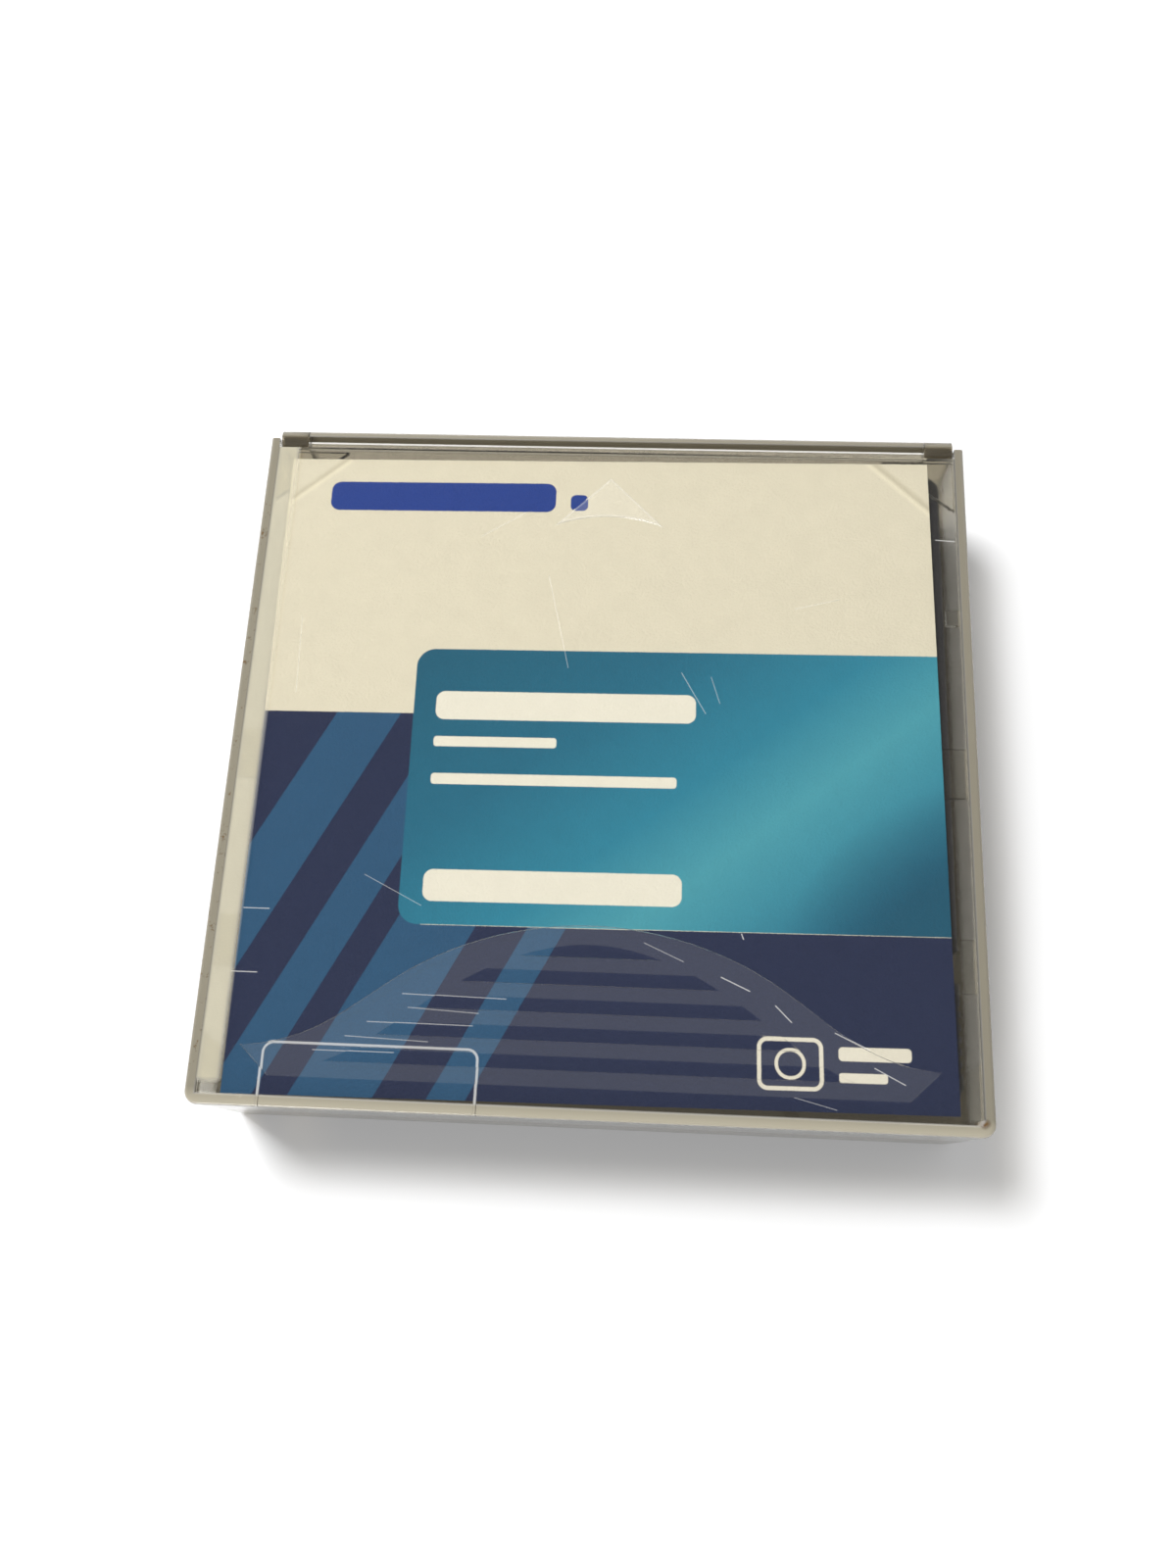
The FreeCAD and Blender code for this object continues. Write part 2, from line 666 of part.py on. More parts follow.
def chip_posts():
    """Two pairs of stub posts that hold the chip between them."""
    posts = []
    for along in (-1, 1):
        for across in (-1, 1):
            length = f"{along} * (chip_side / 2 - chip_post)"
            depth = f"{across} * (chip_thickness / 2 + chip_post / 2 + slider_play)"
            posts.append(circle(f"{CHIP_X} + ({length} + {depth}) * sqrt(0.5)",
                                f"{CHIP_Y} + ({length} - {depth}) * sqrt(0.5)", "chip_post / 2"))
    return posts


def upper_shell():
    """Upper half of the cartridge, with the brake's key and the other screw posts."""
    body = shell_half("upper_shell", "shell_parting", BODY_TOP, "shell_parting", CEILING)
    places = corners_of(SCREW_X, SCREW_Y)
    pad(body, [circle(x, y, "post_radius") for x, y in places], "shell_parting", CEILING)
    pilots = [circle(x, y, "screw_shank") for x, y in places]
    pocket(body, pilots, "shell_parting", "screw_sink + screw_head_height + screw_length")
    for reach_x, reach_y in (("key_reach", "key_width / 2"), ("key_width / 2", "key_reach")):
        bar = rectangle(f"-{reach_x}", reach_x, f"-{reach_y}", reach_y)
        pad(body, [bar], f"{BRAKE_TOP} + brake_travel + key_play", CEILING)
    panel_x = f"({BODY_X} - panel_side)"
    panel_y = f"({BODY_Y} - panel_end)"
    panel = rectangle(f"-{panel_x}", panel_x, f"-{panel_y}", panel_y)
    pocket(body, [panel], f"{BODY_TOP} - panel_sink", BODY_TOP)
    return body


def reel_hub():
    """Hub with its floor, lower flange, drive teeth underneath and brake teeth inside."""
    body = new_body("reel_hub", inside_cartridge=True)
    revolve(body, [
        ("hub_eye", HUB_UNDER), ("drive_inner", HUB_UNDER), ("drive_inner", "shell_floor"),
        ("drive_outer", "shell_floor"), ("drive_outer", FLANGE_LOW), (FLANGE_RADIUS, FLANGE_LOW),
        (FLANGE_RADIUS, FLANGE_TOP), ("hub_radius", FLANGE_TOP), ("hub_radius", UPPER_FLANGE),
        ("hub_bore", UPPER_FLANGE), ("hub_bore", f"{HUB_TOP} + lock_height"),
        ("lock_inner", f"{HUB_TOP} + lock_height"), ("lock_inner", HUB_TOP), ("hub_eye", HUB_TOP)])
    drive_gap = tooth_outline("drive_inner", "drive_teeth", DRIVE_GAP,
                              "shell_floor", f"{HUB_UNDER} - tooth_floor")
    cut = pocket(body, [drive_gap], "-drive_outer", "-hub_eye", "XZ_Plane")
    around(body, cut, "drive_teeth")
    lock_gap = tooth_outline("lock_inner", "lock_teeth", LOCK_GAP,
                             f"{HUB_TOP} + lock_height", f"{HUB_TOP} + tooth_floor")
    cut = pocket(body, [lock_gap], "-hub_bore", "-pad_radius", "XZ_Plane")
    around(body, cut, "lock_teeth")
    holes = [circle(x, y, "leg_hole") for x, y in leg_places()]
    pocket(body, holes, "shell_floor", HUB_TOP)
    return body


def tooth_outline(radius, teeth, shares, mouth, point):
    """Section of a tooth or of the gap between two, tapering from its mouth to its point."""
    half_pitch = f"({radius} * pi / {teeth})"
    wide, narrow = (f"{share} * {half_pitch}" for share in shares)
    return [(f"-{wide}", mouth), (wide, mouth), (narrow, point), (f"-{narrow}", point)]


def leg_places():
    """Three places around the hub where the release pad's legs pass through its floor."""
    return [(f"leg_circle * cos({turn})", f"leg_circle * sin({turn})") for turn in (90, 210, 330)]


def ring(label, inner, outer, low, high):
    """Flat ring about the reel's axis."""
    body = new_body(label, inside_cartridge=True)
    pad(body, [circle("0", "0", outer), circle("0", "0", inner)], low, high)
    return body


def brake():
    """Reel brake: a toothed disc whose slotted socket slides on the upper shell's key."""
    body = new_body("brake", inside_cartridge=True)
    nose = f"{BRAKE_LOW} - nose_height"
    revolve(body, [("0", nose), ("nose_radius", nose), ("nose_radius", BRAKE_LOW),
                   ("brake_radius", BRAKE_LOW), ("brake_radius", BRAKE_TOP), ("socket_outer", BRAKE_TOP),
                   ("socket_outer", f"{BRAKE_TOP} + socket_height"),
                   ("socket_inner", f"{BRAKE_TOP} + socket_height"), ("socket_inner", BRAKE_TOP),
                   ("0", BRAKE_TOP)])
    tooth = tooth_outline("lock_inner", "lock_teeth", LOCK_TOOTH,
                          BRAKE_LOW, f"{HUB_TOP} + tooth_floor + lock_clearance")
    teeth = pad(body, [tooth], "brake_rim - brake_radius", "-lock_inner - lock_overlap", "XZ_Plane")
    around(body, teeth, "lock_teeth")
    reach = "(key_reach + key_play)"
    half = "(key_width / 2 + key_play)"
    for across, along in ((reach, half), (half, reach)):
        slot = rectangle(f"-{across}", across, f"-{along}", along)
        pocket(body, [slot], BRAKE_TOP, f"{BRAKE_TOP} + socket_height")
    return body


def release_pad():
    """Three-legged pad under the brake; a drive's chuck lifts it by the legs."""
    body = new_body("release_pad", inside_cartridge=True)
    low = HUB_TOP
    pad(body, [circle("0", "0", "pad_radius")], low, f"{low} + pad_thickness")
    for x, y in leg_places():
        pad(body, [circle(x, y, "leg_radius")], "shell_floor + leg_lift", f"{low} + pad_thickness")
    arm = rectangle("-leg_radius", "leg_radius", "0", "leg_circle")
    arm_feature = pad(body, [arm], low, f"{low} + pad_thickness")
    around(body, arm_feature, "3")
    return body


def turns_of(radius, low, height, turns):
    """Points of a coil about the Z axis, from the +Y side to where it ends."""
    steps = round(turns * COIL_STEPS)
    points = []
    for step in range(steps + 1):
        angle = math.pi / 2 + step * math.tau / COIL_STEPS
        points.append(Vector(radius * math.cos(angle), radius * math.sin(angle), low + height * step / steps))
    return points


def wire_along(label, points, wire):
    """Six-sided wire that follows a line of points, as one solid."""
    start = points[0]
    way = (points[1] - start).normalize()
    side = way.cross(Vector(0, 0, 1)).normalize()
    spokes = [Rotation(way, 60 * turn).multVec(side) * wire for turn in range(7)]
    section = Part.makePolygon([start + spoke for spoke in spokes])
    path = Part.Wire(Part.makePolygon(points).Edges)
    spring = doc.addObject("Part::Feature", label)
    spring.Shape = path.makePipeShell([section], True, False, 1)
    bind(spring, Placement__Base__z="tray_floor")
    return spring


def brake_spring():
    """Coil spring between the brake and the upper shell."""
    wire = value("brake_wire")
    low = value(f"{BRAKE_TOP} + brake_wire")
    height = value(f"{CEILING} - brake_wire") - low
    points = turns_of(value("brake_coil"), low, height, value("brake_turns"))
    spring = wire_along("brake_spring", points, wire)
    bind(spring, Placement__Base__x=MIDDLE_X, Placement__Base__y=MIDDLE_Y)
    return spring


def leader_pin():
    """Steel pin with a collar at each end, which a drive takes to pull the tape out."""
    body = new_body("leader_pin", inside_cartridge=True)
    low = "(shell_floor + pin_play)"
    high = f"({CEILING} - pin_play)"
    neck_low = f"({low} + pin_collar_height)"
    neck_high = f"({high} - pin_collar_height)"
    revolve(body, [("0", low), ("pin_collar", low), ("pin_collar", neck_low), ("pin_radius", neck_low),
                   ("pin_radius", neck_high), ("pin_collar", neck_high), ("pin_collar", high), ("0", high)])
    bind(body, Placement__Base__x=f"{MIDDLE_X} + {PIN_X}", Placement__Base__y=f"{MIDDLE_Y} + {PIN_Y}")
    return body


def leader_clip():
    """Plastic clamp that grips the end of the leader film on the pin."""
    body = new_body("leader_clip", inside_cartridge=True)
    low = f"({FLANGE_TOP} + tape_play / 2)"
    loops = [circle(PIN_X, PIN_Y, "clip_radius"), circle(PIN_X, PIN_Y, "pin_radius")]
    pad(body, loops, low, f"{low} + {TAPE_WIDTH}")
    return body


def leaf(label, low):
    """U-shaped leaf spring about one collar of the leader pin, open towards the door."""
    body = new_body(label, inside_cartridge=True)
    near = "(pin_collar + spring_play)"
    far = f"({near} + leaf_thickness)"
    mouth = f"{PIN_X} + leaf_reach"
    bend = [(mouth, f"{PIN_Y} + {far}"), (f"{PIN_X} - {far}", f"{PIN_Y} + {far}"),
            (f"{PIN_X} - {far}", f"{PIN_Y} - {far}"), (mouth, f"{PIN_Y} - {far}"),
            (mouth, f"{PIN_Y} - {near}"), (f"{PIN_X} - {near}", f"{PIN_Y} - {near}"),
            (f"{PIN_X} - {near}", f"{PIN_Y} + {near}"), (mouth, f"{PIN_Y} + {near}")]
    pad(body, [bend], low, f"{low} + pin_collar_height")
    return body


def pin_springs():
    """The two leaf springs, one on the floor and one under the ceiling."""
    pair = doc.addObject("Part::Compound", "pin_springs")
    pair.Links = [leaf("lower_leaf", "shell_floor"), leaf("upper_leaf", f"{CEILING} - pin_collar_height")]
    return pair


def tape_leader():
    """End of the tape, from the pack's rim straight to the clamp on the leader pin."""
    start_radius = value(f"{PACK_RADIUS} + film_clearance")
    reach = value("clip_radius + pin_play")
    pin = Vector(value(PIN_X), value(PIN_Y), 0)
    swing = math.degrees(math.atan2(pin.y, pin.x)) - math.degrees(math.acos(start_radius / pin.Length))
    rim = Rotation(Vector(0, 0, 1), swing).multVec(Vector(start_radius, 0, 0))
    run = pin - rim
    strip = doc.addObject("Part::Feature", "tape_leader")
    strip.Shape = Part.makeBox(run.Length - reach, value("film_thickness"), value(TAPE_WIDTH))
    turn = Rotation(Vector(1, 0, 0), run)
    lift = value(f"tray_floor + {FLANGE_TOP} + tape_play / 2")
    base = rim + Vector(value(MIDDLE_X), value(MIDDLE_Y), lift)
    strip.Placement = Placement(base - turn.multVec(Vector(0, value("film_thickness"), 0)), turn)
    return strip


def access_door():
    """Door that slides along the inside of the cartridge's side wall."""
    body = new_body("access_door", inside_cartridge=True)
    low = "(shell_floor + door_clearance)"
    high = f"({CEILING} - door_clearance)"
    pad(body, [rectangle(DOOR_IN, DOOR_OUT, DOOR_BACK, DOOR_FRONT)], low, high)
    hook_back = f"({SCREW_Y} + post_radius + 2 * (door_wire + spring_play - door_coil))"
    hook = rectangle(f"{DOOR_IN} - door_thickness", DOOR_IN, hook_back, f"{hook_back} + hook_width")
    hook_low = "(shell_floor + rail_height + door_clearance)"
    pad(body, [hook], hook_low, f"{hook_low} + hook_height")
    return body


def door_spring():
    """Torsion spring whose legs draw the door's hook towards the corner post."""
    radius = value("door_coil")
    low = value("shell_floor + door_wire")
    height = value("door_turns * door_pitch")
    points = turns_of(radius, low, height, value("door_turns"))
    coil_x = f"({BODY_X} - door_coil_side)"
    first_leg = Vector(value(f"{SCREW_X} + post_radius / 2 - {coil_x}"), radius, low)
    second_leg = Vector(value(f"{DOOR_IN} - door_leg_gap - {coil_x}"), -radius, low + height)
    spring = wire_along("door_spring", [first_leg] + points + [second_leg], value("door_wire"))
    coil_y = f"{SCREW_Y} + post_radius + door_wire + spring_play - door_coil"
    bind(spring, Placement__Base__x=f"{MIDDLE_X} + {coil_x}", Placement__Base__y=f"{MIDDLE_Y} + {coil_y}")
    return spring


def write_protect_tab():
    """Slider in the rear wall, with a nub in the window and a plate behind the wall."""
    body = new_body("write_protect_tab", inside_cartridge=True)
    left = f"({WINDOW_LEFT} + slider_end)"
    nub = rectangle(left, f"{left} + {NUB_WIDTH}", f"-{BODY_Y}", f"-{ROOM_Y} + slider_play")
    pad(body, [nub], "window_low + slider_play", "window_low + window_height - slider_play")
    plate = rectangle(f"{left} - tab_overlap", f"{left} + {NUB_WIDTH} + tab_overlap",
                      f"-{ROOM_Y} + slider_play", f"-{ROOM_Y} + slider_play + tab_plate")
    pad(body, [plate], "shell_floor", "window_low + window_height + tab_overlap")
    return body


def memory_chip():
    """Small square chip board standing across a rear corner."""
    body = new_body("memory_chip", inside_cartridge=True)
    pad(body, [chip_outline()], "shell_floor", f"{CEILING} - chip_headroom")
    return body


def shell_screws():
    """Four countersunk screws, one at each corner, driven from below."""
    screws = []
    for number, (x, y) in enumerate(corners_of(SCREW_X, SCREW_Y), start=1):
        body = new_body(f"screw_{number}", inside_cartridge=True)
        bind(body, Placement__Base__x=f"{MIDDLE_X} + {x}", Placement__Base__y=f"{MIDDLE_Y} + {y}")
        neck = "screw_sink + screw_head_height"
        revolve(body, [("0", "screw_sink"), ("screw_head", "screw_sink"), ("screw_head", neck),
                       ("screw_shank", neck), ("screw_shank", f"{neck} + screw_length - screw_tip"),
                       ("0", f"{neck} + screw_length")])
        screws.append(body)
    group = doc.addObject("Part::Compound", "shell_screws")
    group.Links = screws
    return group


pieces = [
    case_tray(),
    case_lid(),
    insert_card(),
    lower_shell(),
    upper_shell(),
    reel_hub(),
    ring("upper_flange", "hub_bore", FLANGE_RADIUS, UPPER_FLANGE, f"{UPPER_FLANGE} + flange_thickness"),
    ring("hub_plate", "hub_eye", "plate_outer", f"{HUB_UNDER} - plate_thickness", HUB_UNDER),
    ring("tape_pack", "hub_radius", PACK_RADIUS, FLANGE_TOP, f"{FLANGE_TOP} + {TAPE_WIDTH}"),
    brake(),
    brake_spring(),
    release_pad(),
    leader_pin(),
    leader_clip(),
    pin_springs(),
    tape_leader(),
    access_door(),
    door_spring(),
    write_protect_tab(),
    memory_chip(),
    shell_screws(),
]
doc.recompute()

for item in doc.Objects:
    if "Invalid" in item.State or "Error" in item.State:
        raise RuntimeError(f"{item.Label} failed: {item.State}")

os.makedirs("parts", exist_ok=True)
for piece in pieces:
    if piece.Shape.isNull() or not piece.Shape.isValid():
        raise RuntimeError(f"{piece.Label} has no valid shape")
    piece.Shape.exportStep(f"parts/{piece.Label}.step")
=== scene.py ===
import math

import bmesh
import bpy
from mathutils import Euler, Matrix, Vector


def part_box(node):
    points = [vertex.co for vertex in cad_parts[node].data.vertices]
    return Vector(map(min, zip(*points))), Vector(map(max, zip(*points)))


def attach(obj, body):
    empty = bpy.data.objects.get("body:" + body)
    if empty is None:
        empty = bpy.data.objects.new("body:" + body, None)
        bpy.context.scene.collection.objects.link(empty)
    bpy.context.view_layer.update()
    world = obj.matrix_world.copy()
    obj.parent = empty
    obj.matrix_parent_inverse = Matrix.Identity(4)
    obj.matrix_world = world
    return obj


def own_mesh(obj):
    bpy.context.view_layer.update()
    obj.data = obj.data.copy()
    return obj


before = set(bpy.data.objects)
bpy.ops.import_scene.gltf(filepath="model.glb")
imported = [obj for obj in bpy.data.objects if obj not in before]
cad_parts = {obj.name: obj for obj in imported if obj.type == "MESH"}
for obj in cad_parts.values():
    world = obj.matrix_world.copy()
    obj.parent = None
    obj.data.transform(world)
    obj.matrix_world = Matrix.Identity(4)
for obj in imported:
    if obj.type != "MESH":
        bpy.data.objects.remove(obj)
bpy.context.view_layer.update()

# A half-inch data tape cartridge lying in its hinged clear storage case, with a printed card
# under the lid. Objects are in metres; the patterns of the finishes are drawn in millimetres.

MM = 0.001
LID_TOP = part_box("case_lid")[1][2]
CASE_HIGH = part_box("case_tray")[1]
CARD_MIDDLE = [(low + high) / 2 for low, high in zip(*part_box("insert_card"))]
CARD_SKEW = math.radians(0.6)
REEL_MIDDLE = [(low + high) / 2 for low, high in zip(*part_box("upper_flange"))]
SCREW_LOW, SCREW_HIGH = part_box("shell_screws")
CHIP_MIDDLE = [(low + high) / 2 for low, high in zip(*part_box("memory_chip"))]
GRIP_FLOOR = LID_TOP - 0.5 * MM
BROKEN_EDGE = 0.12 * MM
LINE_BLUR = 0.06


def paint(code):
    """Linear RGBA of an sRGB hex colour."""
    parts = [int(code[place:place + 2], 16) / 255 for place in (1, 3, 5)]
    return [part / 12.92 if part <= 0.04045 else ((part + 0.055) / 1.055) ** 2.4 for part in parts] + [1]


def add(tree, kind, feeds=None, **settings):
    """Add a node with its settings, and feed its sockets with values, sockets or other nodes."""
    made = tree.nodes.new(kind)
    for name, setting in settings.items():
        setattr(made, name, setting)
    for name, feed in (feeds or {}).items():
        if isinstance(feed, bpy.types.Node):
            feed = next(output for output in feed.outputs if output.enabled)
        if isinstance(feed, bpy.types.NodeSocket):
            tree.links.new(feed, made.inputs[name])
        else:
            made.inputs[name].default_value = feed
    return made


def new_material(name):
    """Material with an empty tree, and the place of each point in it in millimetres."""
    material = bpy.data.materials.new(name)
    material.use_nodes = True
    tree = material.node_tree
    tree.nodes.clear()
    spot = add(tree, "ShaderNodeTexCoord").outputs["Object"]
    place = add(tree, "ShaderNodeVectorMath", {0: spot, "Scale": 1 / MM}, operation="SCALE")
    return material, tree, place.outputs[0]


def dress(material, *nodes):
    """Give CAD nodes their finish."""
    for node in nodes:
        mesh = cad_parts[node].data
        mesh.materials.clear()
        mesh.materials.append(material)


# Shapes drawn on a surface, seen from above: each is 1 inside and 0 outside.

def patch(tree, place, middle, size, corner=0.0, turn=0.0, soft=LINE_BLUR):
    """Rectangle with round corners, turned about its middle."""
    local = add(tree, "ShaderNodeMapping", {
        "Vector": place, "Location": (middle[0], middle[1], 0), "Rotation": (0, 0, turn)},
        vector_type="TEXTURE")
    flat = add(tree, "ShaderNodeVectorMath", {0: local, 1: (1, 1, 0)}, operation="MULTIPLY")
    folded = add(tree, "ShaderNodeVectorMath", {0: flat}, operation="ABSOLUTE")
    core = (size[0] / 2 - corner, size[1] / 2 - corner, 0)
    beyond = add(tree, "ShaderNodeVectorMath", {0: folded, 1: core}, operation="SUBTRACT")
    outside = add(tree, "ShaderNodeVectorMath", {0: beyond, 1: (0, 0, 0)}, operation="MAXIMUM")
    reach = add(tree, "ShaderNodeVectorMath", {0: outside}, operation="LENGTH").outputs["Value"]
    return add(tree, "ShaderNodeMapRange", {
        "Value": reach, "From Min": corner + soft, "From Max": max(corner - soft, 0)})


def stroke(tree, place, start, end, width, soft=LINE_BLUR):
    """Straight line with round ends."""
    run = Vector(end) - Vector(start)
    middle = (Vector(start) + Vector(end)) / 2
    return patch(tree, place, middle, (run.length + width, width), width / 2, math.atan2(run.y, run.x), soft)


def outline(tree, place, middle, size, corner, width):
    """Line of one width along the edge of a round-cornered rectangle."""
    outer = patch(tree, place, middle, (size[0] + width, size[1] + width), corner + width / 2)
    inner = patch(tree, place, middle, (size[0] - width, size[1] - width), corner - width / 2)
    return add(tree, "ShaderNodeMath", {0: outer, 1: inner}, operation="SUBTRACT", use_clamp=True)


def any_of(tree, shapes):
    """Shapes laid together as one."""
    joined = shapes[0]
    for shape in shapes[1:]:
        joined = add(tree, "ShaderNodeMath", {0: joined, 1: shape}, operation="MAXIMUM")
    return joined


def lay_inks(tree, ground, inks):
    """Colours laid one over another, each inside its own shape."""
    for ink, shape in inks:
        colour = paint(ink) if isinstance(ink, str) else ink
        ground = add(tree, "ShaderNodeMix", {0: shape, 6: ground, 7: colour}, data_type="RGBA")
    return ground


def set_stops(ramp, stops):
    """Give a colour run its stops, each a position from 0 to 1 and a colour."""
    elements = ramp.color_ramp.elements
    while len(elements) < len(stops):
        elements.new(1.0)
    for element, (position, code) in zip(elements, stops):
        element.position = position
        element.color = paint(code)


def grey(amount):
    """Amount from 0 to 1, laid like an ink."""
    return (amount, amount, amount, 1)


# Clear case: polypropylene that has yellowed, olive where the eye looks along a wall.

LID_TINT, LID_RIM_TINT = "#fbfaf6", "#b5ae9b"
TRAY_TINT, TRAY_RIM_TINT = "#c2b9a5", "#9a9484"
# The pale edge colour is painted light: the lid's left margin is drawn paler where light comes in through the
# clear left wall.
LIT_MARGIN_TINT, GRIME = "#e2dcc6", "#6b5236"
POLYPROPYLENE_IOR = 1.49
WALL_MM = 1.5


def through_case(tree, plastic, lamp_tint):
    """Clear plastic with its depth of colour; light to and from what lies inside goes straight through."""
    open_way = add(tree, "ShaderNodeBsdfTransparent", {"Color": lamp_tint})
    path = add(tree, "ShaderNodeLightPath")
    bounced = add(tree, "ShaderNodeMixShader", {0: path.outputs["Is Diffuse Ray"], 1: plastic, 2: open_way})
    seen = add(tree, "ShaderNodeMixShader", {0: path.outputs["Is Shadow Ray"], 1: bounced, 2: open_way})
    depth = add(tree, "ShaderNodeVolumeAbsorption", {"Color": paint("#a79f86"), "Density": 30.0})
    add(tree, "ShaderNodeOutputMaterial", {"Surface": seen, "Volume": depth})


def upright_walls(tree, place):
    """Where the case's upright walls stand, fading in at each wall's inner face."""
    fade_start, fade_end = -0.3, 0.1
    parts = add(tree, "ShaderNodeSeparateXYZ", {0: place})
    shapes = []
    for axis, wall in (("X", CASE_HIGH[0]), ("Y", CASE_HIGH[1])):
        reach = add(tree, "ShaderNodeMath", {0: parts.outputs[axis]}, operation="ABSOLUTE")
        inner = wall / MM - WALL_MM
        shapes.append(add(tree, "ShaderNodeMapRange", {
            "Value": reach, "From Min": inner + fade_start, "From Max": inner + fade_end}))
    return any_of(tree, shapes)


def milky_rims(tree, walls):
    """Level rims of the walls, where the eye meets the haze of the plastic; their sides stay nearly clear."""
    facing = add(tree, "ShaderNodeSeparateXYZ", {0: add(tree, "ShaderNodeTexCoord").outputs["Normal"]})
    level = add(tree, "ShaderNodeMath", {0: facing.outputs["Z"]}, operation="ABSOLUTE")
    share = add(tree, "ShaderNodeMapRange", {
        "Value": level, "From Min": 0.3, "From Max": 0.7, "To Min": 0.15})
    return add(tree, "ShaderNodeMath", {0: walls, 1: share}, operation="MULTIPLY")


def scuff_bump(tree, place, marks=None):
    """Fine rubs of handled polypropylene, with any raised marks on it."""
    rub_width, rub_depth, mark_height = 0.5, 0.02, 0.12
    rubs = add(tree, "ShaderNodeTexNoise", {
        "Vector": place, "Scale": 1 / rub_width, "Detail": 4, "Roughness": 0.7})
    bump = add(tree, "ShaderNodeBump", {"Height": rubs, "Strength": 0.05, "Distance": rub_depth})
    if marks:
        bump = add(tree, "ShaderNodeBump", {
            "Height": marks, "Strength": 0.6, "Distance": mark_height, "Normal": bump})
    return bump


def moulded_polypropylene_tray():
    """Injection-moulded clear polypropylene: glossy and see-through, olive where one looks along a wall."""
    material, tree, place = new_material("moulded_clear_polypropylene_tray")
    rims = milky_rims(tree, upright_walls(tree, place))
    clear = add(tree, "ShaderNodeMapRange", {"Value": rims, "To Min": 0.92, "To Max": 0.45})
    colour = lay_inks(tree, paint(TRAY_TINT), [(TRAY_RIM_TINT, rims)])
    plastic = add(tree, "ShaderNodeBsdfPrincipled", {
        "Base Color": colour, "Roughness": 0.08, "IOR": POLYPROPYLENE_IOR, "Transmission Weight": clear,
        "Normal": scuff_bump(tree, place)})
    through_case(tree, plastic, paint("#a39d90"))
    return material


def moulded_triangle(tree, place):
    """Low triangular relief near the hinge, with an arched foot: its body and its edge line."""
    apex_y, foot_y = 47.7, 38.0
    arch_y, arch_radius = 16.6, 24.0
    parts = add(tree, "ShaderNodeSeparateXYZ", {0: place})
    across = add(tree, "ShaderNodeMath", {0: parts.outputs["X"]}, operation="ABSOLUTE")
    drop = add(tree, "ShaderNodeMath", {0: apex_y, 1: parts.outputs["Y"]}, operation="SUBTRACT")
    inside = add(tree, "ShaderNodeMath", {0: drop, 1: across}, operation="SUBTRACT")
    flat = add(tree, "ShaderNodeCombineXYZ", {"X": parts.outputs["X"], "Y": parts.outputs["Y"]})
    reach = add(tree, "ShaderNodeVectorMath", {0: flat, 1: (0, arch_y, 0)}, operation="DISTANCE")
    above = add(tree, "ShaderNodeMath", {0: reach.outputs["Value"], 1: arch_radius}, operation="SUBTRACT")
    depth = add(tree, "ShaderNodeMath", {0: inside, 1: above}, operation="MINIMUM")
    behind = add(tree, "ShaderNodeMath", {0: parts.outputs["Y"], 1: foot_y}, operation="GREATER_THAN")
    whole = add(tree, "ShaderNodeMapRange", {"Value": depth, "From Min": -0.1, "From Max": 0.1})
    body = add(tree, "ShaderNodeMath", {0: whole, 1: behind}, operation="MULTIPLY")
    core = add(tree, "ShaderNodeMapRange", {"Value": depth, "From Min": 0.2, "From Max": 0.5})
    edge = add(tree, "ShaderNodeMath", {0: body, 1: core}, operation="SUBTRACT", use_clamp=True)
    return body, edge


# Each mark is where it starts, where it ends and its width, a little wider than real ones so that it shows.
HAIRLINES = (
    ((-9.5, 29.5), (-5.6, 13.4), 0.09),
    ((12.5, 13.0), (16.4, 6.2), 0.12),
    ((17.2, 12.4), (18.6, 8.0), 0.1),
    ((-21.0, 36.5), (-14.0, 41.0), 0.08),
    ((-49.4, 21.0), (-49.0, 8.0), 0.05),
    ((30.5, 24.6), (37.5, 26.4), 0.08),
    ((-35.0, -21.5), (-26.0, -26.0), 0.09),
    ((30.0, -52.0), (36.0, -53.5), 0.08),
    ((-27.7, -39.3), (-12.2, -39.6), 0.14),
    ((-32.6, -43.6), (-16.9, -43.7), 0.14),
    ((-35.7, -45.8), (-23.4, -46.2), 0.12),
    ((-40.3, -48.0), (-28.2, -48.0), 0.14),
    ((-26.7, -41.3), (-16.2, -41.8), 0.12),
    ((7.9, -30.4), (13.8, -33.0), 0.12),
)
# The glints are painted highlights: short bright lines where the edges of the ribs catch the light.
GLINTS = (
    ((-53.9, -37.0), (-49.8, -37.0), 0.14),
    ((-53.0, -27.3), (-49.1, -27.3), 0.12),
    ((19.4, -35.1), (23.6, -37.0), 0.16),
    ((27.4, -39.0), (29.7, -41.3), 0.16),
    ((22.3, -28.6), (22.6, -29.4), 0.16),
    ((36.0, -42.6), (40.8, -44.9), 0.14),
    ((41.6, -47.4), (45.9, -49.6), 0.14),
    ((53.3, 37.5), (56.3, 37.3), 0.16),
)


def fine_marks(tree, place, marks):
    """Fine marks across the lid: scratches from years in a drawer, or painted highlights for the glints of
    its ribs.
    """
    return any_of(tree, [stroke(tree, place, start, end, width, soft=0.05) for start, end, width in marks])


def rim_dirt(tree, place):
    """Brown grime: dots along the left rim, and a spot in the right front corner."""
    spots = add(tree, "ShaderNodeTexNoise", {"Vector": place, "Scale": 0.9, "Detail": 3, "Roughness": 0.8})
    dots = add(tree, "ShaderNodeMapRange", {"Value": spots, "From Min": 0.6, "From Max": 0.68})
    rim = patch(tree, place, middle=(-57.9, -4), size=(1.5, 96), corner=0.3, soft=0.3)
    left = add(tree, "ShaderNodeMath", {0: dots, 1: rim}, operation="MULTIPLY")
    corner = patch(tree, place, middle=(56.9, -54.6), size=(1.2, 0.8), corner=0.4, turn=0.7, soft=0.3)
    return any_of(tree, [left, corner])


